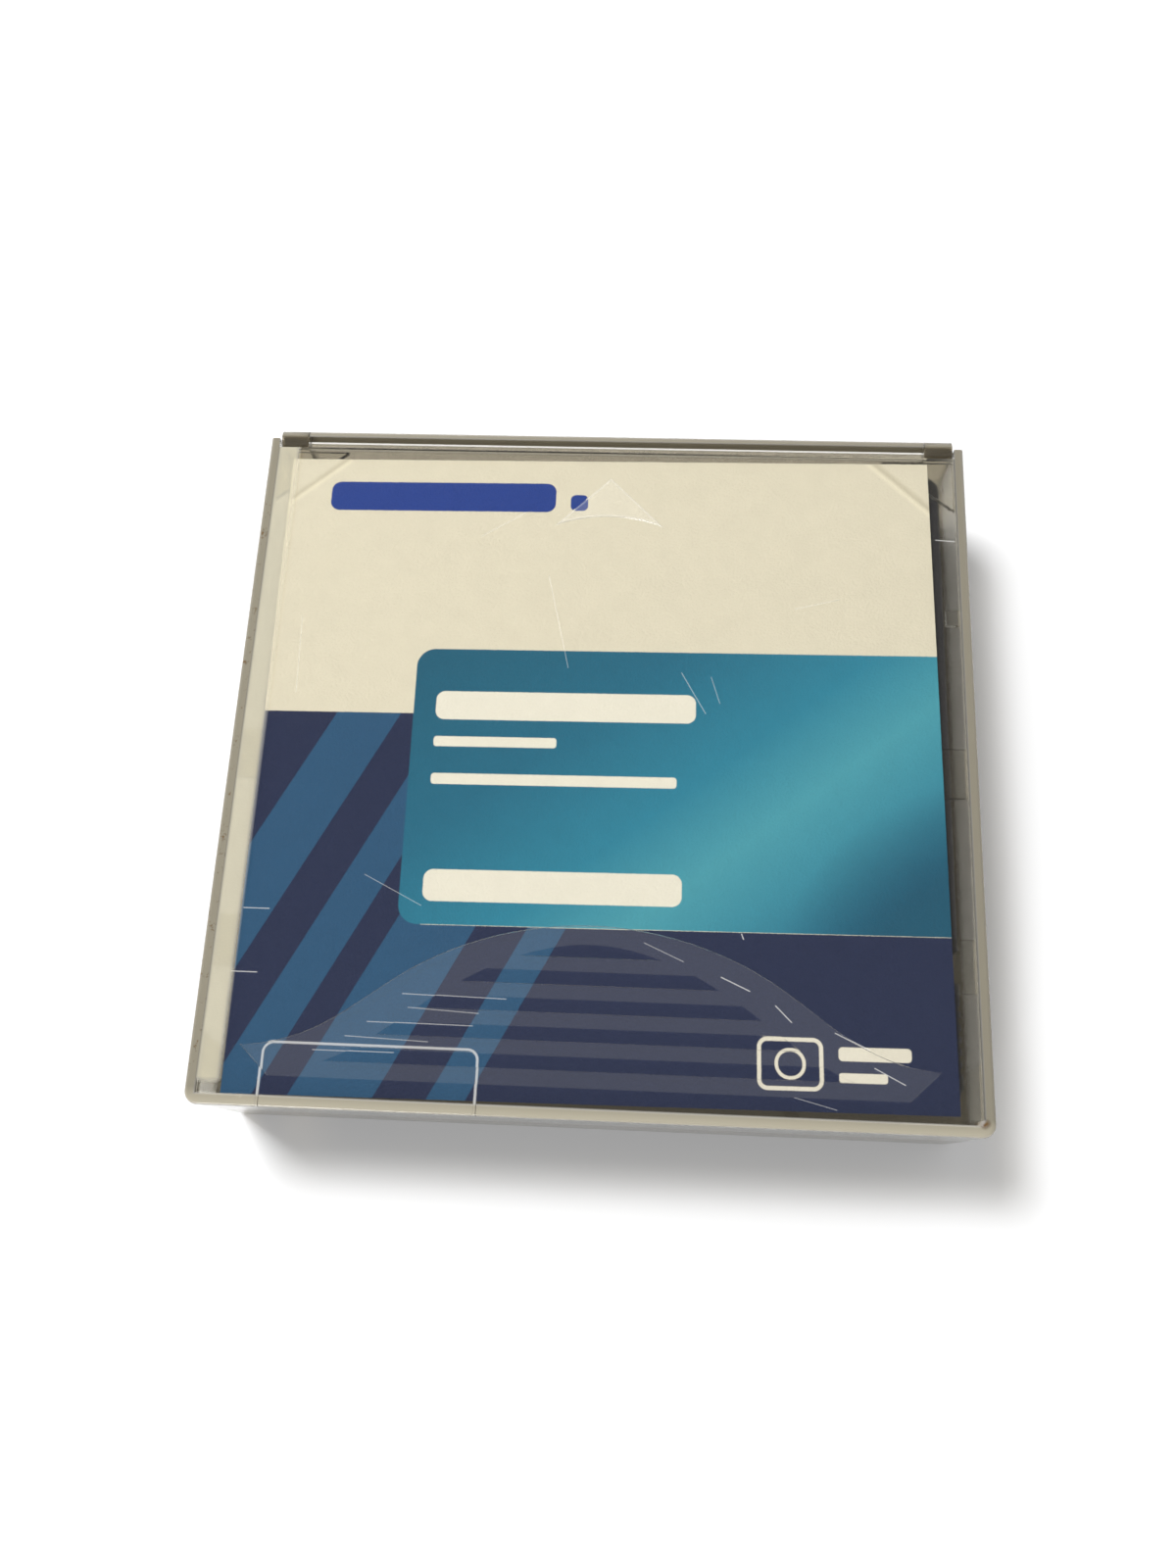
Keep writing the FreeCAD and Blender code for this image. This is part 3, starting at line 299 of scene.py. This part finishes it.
def moulded_polypropylene_lid():
    """Injection-moulded clear polypropylene: glassy, with low moulded marks, hairlines and grimy rims, and
    painted light in a paler left margin, a paler front rim and glints on the ribs.
    """
    material, tree, place = new_material("moulded_clear_polypropylene_lid")
    body, edge = moulded_triangle(tree, place)
    title_box = outline(tree, place, middle=(-31.7, -57.1), size=(31.8, 20), corner=1.6, width=0.42)
    scratches = fine_marks(tree, place, HAIRLINES)
    glints = fine_marks(tree, place, GLINTS)
    # Paler, milkier strip over the left margin: painted light, where light comes in through the clear left
    # wall.
    painted_light_margin = patch(tree, place, middle=(-55.3, 0), size=(3.6, 106), corner=0.5, soft=0.5)
    dirt = rim_dirt(tree, place)
    height = add(tree, "ShaderNodeSeparateXYZ", {0: place}).outputs["Z"]
    top_skin = 0.8 * MM
    top = add(tree, "ShaderNodeMath", {0: height, 1: (LID_TOP - top_skin) / MM}, operation="GREATER_THAN")
    raised = any_of(tree, [body, title_box])
    marks = add(tree, "ShaderNodeMath", {0: raised, 1: top}, operation="MULTIPLY")
    above_floor = add(tree, "ShaderNodeMath", {0: height, 1: GRIP_FLOOR / MM}, operation="SUBTRACT")
    grip_floor = add(tree, "ShaderNodeMapRange", {"Value": above_floor, "From Min": 0.4, "From Max": 0.3})
    # Whitening of the top: real frosting of the grip floor, the triangle and the title box, and hairlines,
    # with painted light in the left margin and the rib glints.
    frost_and_painted_light = lay_inks(tree, grey(0), [
        (grey(0.03), grip_floor), (grey(0.07), body), (grey(0.2), edge), (grey(0.5), painted_light_margin),
        (grey(0.42), title_box), (grey(0.3), scratches), (grey(0.45), glints)])
    # This haze is partly the plastic's real frosting and partly painted light: the paler left margin and the
    # rib glints.
    haze = add(tree, "ShaderNodeMath", {0: frost_and_painted_light, 1: top}, operation="MULTIPLY")
    walls = upright_walls(tree, place)
    rims = milky_rims(tree, walls)
    # The rims' milk is the plastic's real haze; the extra milk along the front rim, which makes it paler, is
    # painted light.
    forward = add(tree, "ShaderNodeSeparateXYZ", {0: place}).outputs["Y"]
    front_light_start, front_light_end = -54, -56
    front_rim_light = add(tree, "ShaderNodeMapRange", {
        "Value": forward, "From Min": front_light_start, "From Max": front_light_end, "To Min": 0.5, "To Max": 0.85})
    milk_and_front_light = add(tree, "ShaderNodeMath", {0: rims, 1: front_rim_light}, operation="MULTIPLY")
    clouded = any_of(tree, [haze, dirt, milk_and_front_light])
    clear = add(tree, "ShaderNodeMath", {0: 1.0, 1: clouded}, operation="SUBTRACT", use_clamp=True)
    colour = lay_inks(tree, paint(LID_TINT), [(LIT_MARGIN_TINT, painted_light_margin), (LID_RIM_TINT, rims), (GRIME, dirt)])
    plastic = add(tree, "ShaderNodeBsdfPrincipled", {
        "Base Color": colour, "Roughness": 0.04, "IOR": POLYPROPYLENE_IOR, "Transmission Weight": clear,
        "Normal": scuff_bump(tree, place, marks)})
    through_case(tree, plastic, lay_inks(tree, paint("#faf8f3"), [("#8f8a7e", walls)]))
    return material


def corner_posts(material):
    """Rounded posts that carry the tray's back wall round its corners, under the swing of the lid."""
    width, depth, corner = 1.8 * MM, 1.7 * MM, 1.5 * MM
    under_lid_foot, under_lid_top = 0.1 * MM, 3.8 * MM
    low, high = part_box("case_lid")[0][2] - under_lid_foot, LID_TOP - under_lid_top
    side, back = CASE_HIGH[0], CASE_HIGH[1]
    arc = [math.radians(15 * step) for step in range(7)]
    ring = [(side - width, back - depth), (side, back - depth)]
    ring += [(side - corner + corner * math.cos(turn), back - corner + corner * math.sin(turn))
             for turn in arc]
    ring.append((side - width, back))
    count = len(ring)
    for name, way in (("left", -1), ("right", 1)):
        spots = [(way * x, y, z) for z in (low, high) for x, y in ring]
        faces = [tuple(range(count)), tuple(range(count, 2 * count))]
        faces += [(here, (here + 1) % count, (here + 1) % count + count, here + count)
                  for here in range(count)]
        mesh = bpy.data.meshes.new(f"corner_post_{name}")
        mesh.from_pydata(spots, [], faces)
        shape = bmesh.new()
        shape.from_mesh(mesh)
        bmesh.ops.recalc_face_normals(shape, faces=shape.faces)
        shape.to_mesh(mesh)
        shape.free()
        mesh.materials.append(material)
        post = bpy.data.objects.new(f"corner_post_{name}", mesh)
        bpy.context.collection.objects.link(post)
        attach(post, "case")


def round_edges(node, radius):
    """Break the sharp edges of a moulding, so that they catch the light."""
    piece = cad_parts[node]
    weld = piece.modifiers.new("weld", "WELD")
    weld.merge_threshold = 0.001 * MM
    bevel = piece.modifiers.new("broken_edges", "BEVEL")
    bevel.width = radius
    bevel.segments = 2
    bevel.limit_method = "ANGLE"
    bevel.angle_limit = math.radians(40)


# Printed card: places are in millimetres across and up from its middle.

CREAM, NAVY, SKY, ULTRAMARINE = "#e6e2d4", "#263053", "#2c5882", "#27449a"
TITLE_WHITE, BADGE_WHITE = "#f2f1ea", "#eceae2"
DEEP_TEAL = "#1b5675"
TEAL_RUN = (
    (0.0, "#1f6080"), (0.3, "#236e90"), (0.52, "#2e88aa"),
    (0.66, "#4da4bd"), (0.76, "#3f95b2"), (0.9, "#227094"))
CREASE_SHADE, CREASE_LIGHT = "#b9b29c", "#f6f2e2"

# Each bar is its left end, its right end, its middle line and its height.
HEADING_BARS = ((-46.4, -8.3, 45.9, 5.4), (-5.8, -2.9, 45.0, 3.0))
TITLE_BARS = ((-26, 15.4, 8.4, 4.8), (-26, -6.5, 2.3, 1.7), (-26, 12.5, -3.9, 1.8), (-26, 13.5, -21, 5.0))
BADGE_BARS = ((36.5, 47, -44.6, 2.0), (36.5, 43.5, -48.0, 1.4))
BADGE_MIDDLE = (29.5, -46.2)
# Each band is how far across its middle stands, and its width.
BANDS = ((-52, 9), (-36, 6), (-21, 11), (-4, 5))
# Each crease is where it starts and where it ends.
CREASES = (((-55.4, 42.6), (-43.6, 52.6)), ((43.8, 52.8), (54.6, 42.4)))


def card_place(tree, place):
    """Millimetres across and up the card from its middle, square to its own edges."""
    middle = (CARD_MIDDLE[0] / MM, CARD_MIDDLE[1] / MM, 0)
    return add(tree, "ShaderNodeMapping", {
        "Vector": place, "Location": middle, "Rotation": (0, 0, CARD_SKEW)}, vector_type="TEXTURE").outputs[0]


def teal_sheen(tree, place):
    """Ink of the big panel, which runs from deep to light along a slant and is darkest in its far corner."""
    slant = add(tree, "ShaderNodeVectorMath", {0: place, 1: (0.0071, -0.0092, 0)}, operation="DOT_PRODUCT")
    across = add(tree, "ShaderNodeMath", {0: slant.outputs["Value"], 1: 0.373}, operation="ADD")
    body = add(tree, "ShaderNodeValToRGB", {"Fac": across})
    set_stops(body, TEAL_RUN)
    far_corner, dark_reach, fade_reach = (64, -40, 0), 24, 38
    flat = add(tree, "ShaderNodeVectorMath", {0: place, 1: (1, 1, 0)}, operation="MULTIPLY")
    reach = add(tree, "ShaderNodeVectorMath", {0: flat, 1: far_corner}, operation="DISTANCE")
    corner = add(tree, "ShaderNodeMapRange", {
        "Value": reach.outputs["Value"], "From Min": fade_reach, "From Max": dark_reach, "To Max": 0.85})
    return lay_inks(tree, body, [(DEEP_TEAL, corner)])


def slanted_bands(tree, place):
    """Wide slanted bands that cross the dark field."""
    level, length, lean = -22, 90, math.radians(62)
    return any_of(tree, [patch(tree, place, (middle, level), (length, width), 0, lean)
                         for middle, width in BANDS])


def bar_rows(tree, place, rows):
    """Plain bars with eased ends, where words would stand."""
    bars = [patch(tree, place, ((left + right) / 2, middle), (right - left, height), height * 0.3)
            for left, right, middle, height in rows]
    return any_of(tree, bars)


def plain_badge(tree, place):
    """Outlined box with a ring in it, beside two bars."""
    box = outline(tree, place, BADGE_MIDDLE, size=(9, 7), corner=1.2, width=0.6)
    ring = outline(tree, place, BADGE_MIDDLE, size=(4, 4), corner=1.9, width=0.5)
    return any_of(tree, [box, ring, bar_rows(tree, place, BADGE_BARS)])


def folded_corners(tree, place, ground):
    """Creases where the card's back corners bend over the lid's tabs: a light line and its shadow."""
    shadows = [[(x + 0.2, y + 0.9) for x, y in crease] for crease in CREASES]
    light = any_of(tree, [stroke(tree, place, start, end, width=0.7, soft=0.3) for start, end in CREASES])
    shade = any_of(tree, [stroke(tree, place, start, end, width=0.8, soft=0.5) for start, end in shadows])
    half_shade = add(tree, "ShaderNodeMath", {0: shade, 1: 0.5}, operation="MULTIPLY")
    strong_light = add(tree, "ShaderNodeMath", {0: light, 1: 0.8}, operation="MULTIPLY")
    return lay_inks(tree, ground, [(CREASE_SHADE, half_shade), (CREASE_LIGHT, strong_light)])


def printed_card():
    """Offset-printed coated card, 0.25 mm thick: flat inks with a satin face and a little mottle."""
    material, tree, place = new_material("offset_printed_coated_card")
    card = card_place(tree, place)
    lower_field = patch(tree, card, middle=(0, -60.2), size=(140, 66))
    left_field = patch(tree, card, middle=(-56, -23.1), size=(60, 60))
    field = any_of(tree, [lower_field, left_field])
    panel = patch(tree, card, middle=(23.3, -4.5), size=(105.7, 45.2), corner=3)
    banded = lay_inks(tree, paint(NAVY), [(SKY, slanted_bands(tree, card))])
    inks = lay_inks(tree, paint(CREAM), [
        (banded, field), (teal_sheen(tree, card), panel), (ULTRAMARINE, bar_rows(tree, card, HEADING_BARS)),
        (TITLE_WHITE, bar_rows(tree, card, TITLE_BARS)), (BADGE_WHITE, plain_badge(tree, card))])
    creased = folded_corners(tree, card, inks)
    mottle = add(tree, "ShaderNodeTexNoise", {"Vector": place, "Scale": 0.35, "Detail": 5})
    tone = add(tree, "ShaderNodeMapRange", {"Value": mottle, "To Min": 0.95, "To Max": 1.04})
    colour = add(tree, "ShaderNodeVectorMath", {0: creased, "Scale": tone}, operation="SCALE")
    fibre_width = 0.4
    fibres = add(tree, "ShaderNodeTexNoise", {"Vector": place, "Scale": 1 / fibre_width, "Detail": 3})
    bump = add(tree, "ShaderNodeBump", {"Height": fibres, "Strength": 0.15, "Distance": 0.03})
    surface = add(tree, "ShaderNodeBsdfPrincipled", {
        "Base Color": colour, "Roughness": 0.55, "IOR": 1.5, "Normal": bump})
    add(tree, "ShaderNodeOutputMaterial", {"Surface": surface})
    return material


# Cartridge

def moulded_shell(name, code):
    """Polycarbonate moulded in a spark-eroded tool: dark and half dull, with an even fine grain."""
    material, tree, place = new_material(name)
    grain_width, grain_depth = 0.3, 0.03
    grain = add(tree, "ShaderNodeTexVoronoi", {"Vector": place, "Scale": 1 / grain_width})
    bump = add(tree, "ShaderNodeBump", {
        "Height": grain.outputs["Distance"], "Strength": 0.12, "Distance": grain_depth})
    wear = add(tree, "ShaderNodeTexNoise", {"Vector": place, "Scale": 0.12, "Detail": 4})
    rough = add(tree, "ShaderNodeMapRange", {"Value": wear, "To Min": 0.42, "To Max": 0.6})
    tone = add(tree, "ShaderNodeMapRange", {"Value": wear, "To Min": 0.9, "To Max": 1.12})
    colour = add(tree, "ShaderNodeVectorMath", {0: paint(code)[:3], "Scale": tone}, operation="SCALE")
    surface = add(tree, "ShaderNodeBsdfPrincipled", {
        "Base Color": colour, "Roughness": rough, "IOR": 1.58, "Normal": bump})
    add(tree, "ShaderNodeOutputMaterial", {"Surface": surface})
    return material


def moulded_acetal(name, code):
    """Injection-moulded acetal, or the hub's filled polycarbonate: waxy, smooth and a little translucent."""
    material, tree, place = new_material(name)
    flow = add(tree, "ShaderNodeTexNoise", {"Vector": place, "Scale": 0.2, "Detail": 2})
    tone = add(tree, "ShaderNodeMapRange", {"Value": flow, "To Min": 0.95, "To Max": 1.03})
    colour = add(tree, "ShaderNodeVectorMath", {0: paint(code)[:3], "Scale": tone}, operation="SCALE")
    surface = add(tree, "ShaderNodeBsdfPrincipled", {
        "Base Color": colour, "Roughness": 0.35, "IOR": 1.48, "Subsurface Weight": 0.1,
        "Subsurface Scale": 0.5 * MM})
    add(tree, "ShaderNodeOutputMaterial", {"Surface": surface})
    return material


def about_the_reel(tree, place):
    """Millimetres from the reel's middle."""
    middle = (REEL_MIDDLE[0] / MM, REEL_MIDDLE[1] / MM, 0)
    return add(tree, "ShaderNodeMapping", {"Vector": place, "Location": middle}, vector_type="TEXTURE")


def clear_flange():
    """Moulded clear polycarbonate: a see-through disc with faint flow rings about its gate."""
    material, tree, place = new_material("moulded_clear_polycarbonate_flange")
    centred = about_the_reel(tree, place)
    rings = add(tree, "ShaderNodeTexWave", {"Vector": centred, "Scale": 0.12, "Distortion": 1.5},
                wave_type="RINGS", rings_direction="Z")
    bump = add(tree, "ShaderNodeBump", {"Height": rings, "Strength": 0.1, "Distance": 0.05})
    surface = add(tree, "ShaderNodeBsdfPrincipled", {
        "Base Color": paint("#eceee8"), "Roughness": 0.15, "IOR": 1.58, "Transmission Weight": 0.9,
        "Normal": bump})
    add(tree, "ShaderNodeOutputMaterial", {"Surface": surface})
    return material


def wound_tape():
    """Wound coated polyester tape: near-black brown, its edges stacked in fine rings like a record."""
    # The tape's layers are far too fine to show, so the rings are drawn a quarter of a millimetre wide.
    ring_width = 0.25
    material, tree, place = new_material("wound_coated_polyester_tape")
    centred = about_the_reel(tree, place)
    flat = add(tree, "ShaderNodeVectorMath", {0: centred, 1: (1, 1, 0)}, operation="MULTIPLY")
    radius = add(tree, "ShaderNodeVectorMath", {0: flat}, operation="LENGTH").outputs["Value"]
    turns = add(tree, "ShaderNodeTexNoise", {
        "W": radius, "Scale": 1 / ring_width, "Detail": 3}, noise_dimensions="1D")
    bump = add(tree, "ShaderNodeBump", {"Height": turns, "Strength": 0.4, "Distance": 0.05})
    colour = add(tree, "ShaderNodeValToRGB", {"Fac": turns})
    set_stops(colour, ((0.3, "#16120f"), (0.7, "#2b241f")))
    surface = add(tree, "ShaderNodeBsdfPrincipled", {
        "Base Color": colour, "Roughness": 0.3, "IOR": 1.6, "Normal": bump})
    add(tree, "ShaderNodeOutputMaterial", {"Surface": surface})
    return material


def leader_film():
    """Slit polyester film: smooth and smoky, its gloss a little uneven."""
    material, tree, place = new_material("slit_polyester_film")
    drawn = add(tree, "ShaderNodeTexNoise", {"Vector": place, "Scale": 0.8, "Detail": 2})
    rough = add(tree, "ShaderNodeMapRange", {"Value": drawn, "To Min": 0.18, "To Max": 0.3})
    surface = add(tree, "ShaderNodeBsdfPrincipled", {
        "Base Color": paint("#3a3733"), "Roughness": rough, "IOR": 1.64})
    add(tree, "ShaderNodeOutputMaterial", {"Surface": surface})
    return material


def worked_steel(name, code, roughness, marks_per_mm):
    """Bright steel, its gloss broken by the fine marks of working: so many to the millimetre on each axis."""
    material, tree, place = new_material(name)
    lines = add(tree, "ShaderNodeMapping", {"Vector": place, "Scale": marks_per_mm})
    grain = add(tree, "ShaderNodeTexNoise", {"Vector": lines, "Scale": 1.0, "Detail": 4, "Roughness": 0.7})
    rough = add(tree, "ShaderNodeMapRange", {"Value": grain, "To Min": roughness, "To Max": roughness + 0.15})
    bump = add(tree, "ShaderNodeBump", {"Height": grain, "Strength": 0.15, "Distance": 0.02})
    surface = add(tree, "ShaderNodeBsdfPrincipled", {
        "Base Color": paint(code), "Metallic": 1.0, "Roughness": rough, "Normal": bump})
    add(tree, "ShaderNodeOutputMaterial", {"Surface": surface})
    return material


def blackened_screws():
    """Blackened steel: dark, half-glossy heads, each with a cross-shaped drive sunk in it and painted
    near-black as its shade.
    """
    material, tree, place = new_material("blackened_steel_screws")
    middle = [(low + high) / 2 / MM for low, high in zip(SCREW_LOW, SCREW_HIGH)]
    centred = add(tree, "ShaderNodeVectorMath", {
        0: place, 1: (middle[0], middle[1], 0)}, operation="SUBTRACT")
    quarter = add(tree, "ShaderNodeVectorMath", {0: centred}, operation="ABSOLUTE")
    head_radius, arm_length, arm_width, drive_depth = 2.4, 2.8, 0.6, 0.5
    spot = [(far - near) / 2 / MM - head_radius for near, far in zip(SCREW_LOW[:2], SCREW_HIGH[:2])]
    arms = any_of(tree, [patch(tree, quarter.outputs[0], spot, size, 0.2)
                         for size in ((arm_length, arm_width), (arm_width, arm_length))])
    height = add(tree, "ShaderNodeSeparateXYZ", {0: place}).outputs["Z"]
    under = add(tree, "ShaderNodeMath", {0: height, 1: SCREW_LOW[2] / MM + 0.2}, operation="LESS_THAN")
    drive = add(tree, "ShaderNodeMath", {0: arms, 1: under}, operation="MULTIPLY")
    bump = add(tree, "ShaderNodeBump", {
        "Height": drive, "Strength": 1.0, "Distance": drive_depth}, invert=True)
    # The drive's near-black colour is painted shade in the sunk recess.
    colour = lay_inks(tree, paint("#5b5b5e"), [("#1b1b1d", drive)])
    surface = add(tree, "ShaderNodeBsdfPrincipled", {
        "Base Color": colour, "Metallic": 1.0, "Roughness": 0.32, "Normal": bump})
    add(tree, "ShaderNodeOutputMaterial", {"Surface": surface})
    return material


def chip_board():
    """Solder-masked glass-fibre board: satin green, with a flat coil of copper showing through the mask."""
    material, tree, place = new_material("solder_masked_circuit_board")
    middle = tuple(part / MM for part in CHIP_MIDDLE)
    upright = add(tree, "ShaderNodeMapping", {
        "Vector": place, "Location": middle, "Rotation": (math.pi / 2, 0, math.pi / 4)},
        vector_type="TEXTURE")
    board = upright.outputs[0]
    turn_count, turn_shrink = 4, 1.2
    steps = [turn_shrink * turn for turn in range(turn_count)]
    turns = any_of(tree, [outline(tree, board, (0, 0), (17 - step, 14 - step), corner=0.9, width=0.25)
                          for step in steps])
    die = patch(tree, board, (0, 0), size=(3, 3), corner=0.4)
    colour = lay_inks(tree, paint("#123f2a"), [("#3c7a4c", turns), ("#17171a", die)])
    surface = add(tree, "ShaderNodeBsdfPrincipled", {"Base Color": colour, "Roughness": 0.4, "IOR": 1.5})
    add(tree, "ShaderNodeOutputMaterial", {"Surface": surface})
    return material


# Stage, lamps and camera

def studio_floor():
    """White paper sheet, which keeps the soft shadow, glows with distance and is clear from below."""
    reach, level = 3.0, -0.1 * MM
    glow_start, glow_end = 130, 450
    mesh = bpy.data.meshes.new("paper_sheet")
    corners = [(x * reach, y * reach, level) for x, y in ((-1, -1), (1, -1), (1, 1), (-1, 1))]
    mesh.from_pydata(corners, [], [(0, 1, 2, 3)])
    floor = bpy.data.objects.new("paper_sheet", mesh)
    bpy.context.collection.objects.link(floor)
    material, tree, spot = new_material("white_paper")
    paper = add(tree, "ShaderNodeBsdfDiffuse", {"Color": paint("#fafafa")})
    bright = add(tree, "ShaderNodeEmission", {"Color": paint("#ffffff"), "Strength": 1.0})
    path = add(tree, "ShaderNodeLightPath")
    looks = any_of(tree, [path.outputs[f"Is {kind} Ray"] for kind in ("Camera", "Glossy", "Transmission")])
    afar = add(tree, "ShaderNodeVectorMath", {0: spot}, operation="LENGTH").outputs["Value"]
    glow = add(tree, "ShaderNodeMapRange", {
        "Value": afar, "From Min": glow_start, "From Max": glow_end, "To Min": 0.12, "To Max": 1.0})
    share = add(tree, "ShaderNodeMath", {0: looks, 1: glow}, operation="MULTIPLY")
    sheet = add(tree, "ShaderNodeMixShader", {0: share, 1: paper, 2: bright})
    under = add(tree, "ShaderNodeNewGeometry").outputs["Backfacing"]
    gone = add(tree, "ShaderNodeBsdfTransparent", {"Color": paint("#ffffff")})
    whole = add(tree, "ShaderNodeMixShader", {0: under, 1: sheet, 2: gone})
    add(tree, "ShaderNodeOutputMaterial", {"Surface": whole})
    mesh.materials.append(material)


def soft_lamp(name, spot, side, power, mirrored=True):
    """Square lamp that faces the middle of the case, and shows in its gloss only if it is mirrored."""
    light = bpy.data.lights.new(name, "AREA")
    light.size = side
    light.energy = power
    lamp = bpy.data.objects.new(name, light)
    lamp.location = spot
    lamp.visible_glossy = lamp.visible_transmission = mirrored
    aim = Vector((0, 0, LID_TOP / 2)) - Vector(spot)
    lamp.rotation_euler = aim.to_track_quat("-Z", "Y").to_euler()
    bpy.context.collection.objects.link(lamp)


def soft_room():
    """White room under a darker ceiling, which the lid mirrors; the camera itself sees plain white."""
    side_light, ceiling_light = 0.75, 0.15
    world = bpy.data.worlds.new("soft_room")
    world.use_nodes = True
    tree = world.node_tree
    tree.nodes.clear()
    way = add(tree, "ShaderNodeTexCoord").outputs["Generated"]
    height = add(tree, "ShaderNodeSeparateXYZ", {0: way}).outputs["Z"]
    level = add(tree, "ShaderNodeMapRange", {
        "Value": height, "From Min": 0.45, "From Max": 0.8, "To Min": side_light, "To Max": ceiling_light})
    seen = add(tree, "ShaderNodeLightPath").outputs["Is Camera Ray"]
    strength = add(tree, "ShaderNodeMix", {0: seen, 2: level, 3: 1.0}, data_type="FLOAT")
    room = add(tree, "ShaderNodeBackground", {"Color": paint("#ffffff"), "Strength": strength})
    add(tree, "ShaderNodeOutputWorld", {"Surface": room})
    bpy.context.scene.world = world


def overhead_camera():
    """Hand-held view from above and a little in front, turned as the case lies."""
    spot, turns = (8.14, -65.27, 214.55), (17.549, 2.154, 2.519)
    camera = bpy.data.cameras.new("overhead")
    camera.sensor_fit = "VERTICAL"
    camera.sensor_height = 36
    camera.lens = 29.32
    camera.clip_start = 0.01
    holder = bpy.data.objects.new("overhead", camera)
    holder.location = Vector(spot) * MM
    holder.rotation_euler = Euler([math.radians(turn) for turn in turns], "XYZ")
    bpy.context.collection.objects.link(holder)
    bpy.context.scene.camera = holder


clear_tray = moulded_polypropylene_tray()
dress(clear_tray, "case_tray")
corner_posts(clear_tray)
dress(moulded_polypropylene_lid(), "case_lid")
dress(printed_card(), "insert_card")
for half in ("case_lid", "case_tray"):
    round_edges(half, BROKEN_EDGE)
dress(moulded_shell("moulded_charcoal_polycarbonate", "#35353a"), "lower_shell", "upper_shell")
dress(moulded_shell("moulded_dark_grey_polycarbonate", "#4a4a4e"), "access_door")
dress(moulded_acetal("moulded_glass_filled_polycarbonate", "#c9c8c0"), "reel_hub")
dress(moulded_acetal("moulded_white_acetal", "#dddbd2"), "brake", "release_pad")
dress(moulded_acetal("moulded_black_acetal", "#1f1f22"), "leader_clip")
dress(moulded_acetal("moulded_red_acetal", "#96302a"), "write_protect_tab")
dress(clear_flange(), "upper_flange")
dress(wound_tape(), "tape_pack")
dress(leader_film(), "tape_leader")
dress(worked_steel("stamped_zinc_plated_steel", "#c3c4c6", 0.25, (0.3, 3, 3)), "hub_plate")
dress(worked_steel("turned_stainless_steel", "#c8c6c2", 0.15, (0.4, 0.4, 6)), "leader_pin")
spring_steel = worked_steel("drawn_spring_steel", "#8f8f92", 0.28, (2, 2, 2))
dress(spring_steel, "brake_spring", "door_spring", "pin_springs")
dress(blackened_screws(), "shell_screws")
dress(chip_board(), "memory_chip")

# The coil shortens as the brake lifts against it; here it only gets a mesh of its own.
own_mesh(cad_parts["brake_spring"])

studio_floor()
soft_room()
soft_lamp("overhead", spot=(-0.42, 0.34, 1.05), side=0.34, power=13.6, mirrored=False)
soft_lamp("front_window", spot=(-0.5, -1.3, 0.25), side=0.5, power=8)
overhead_camera()

bpy.context.scene.view_settings.view_transform = "Standard"
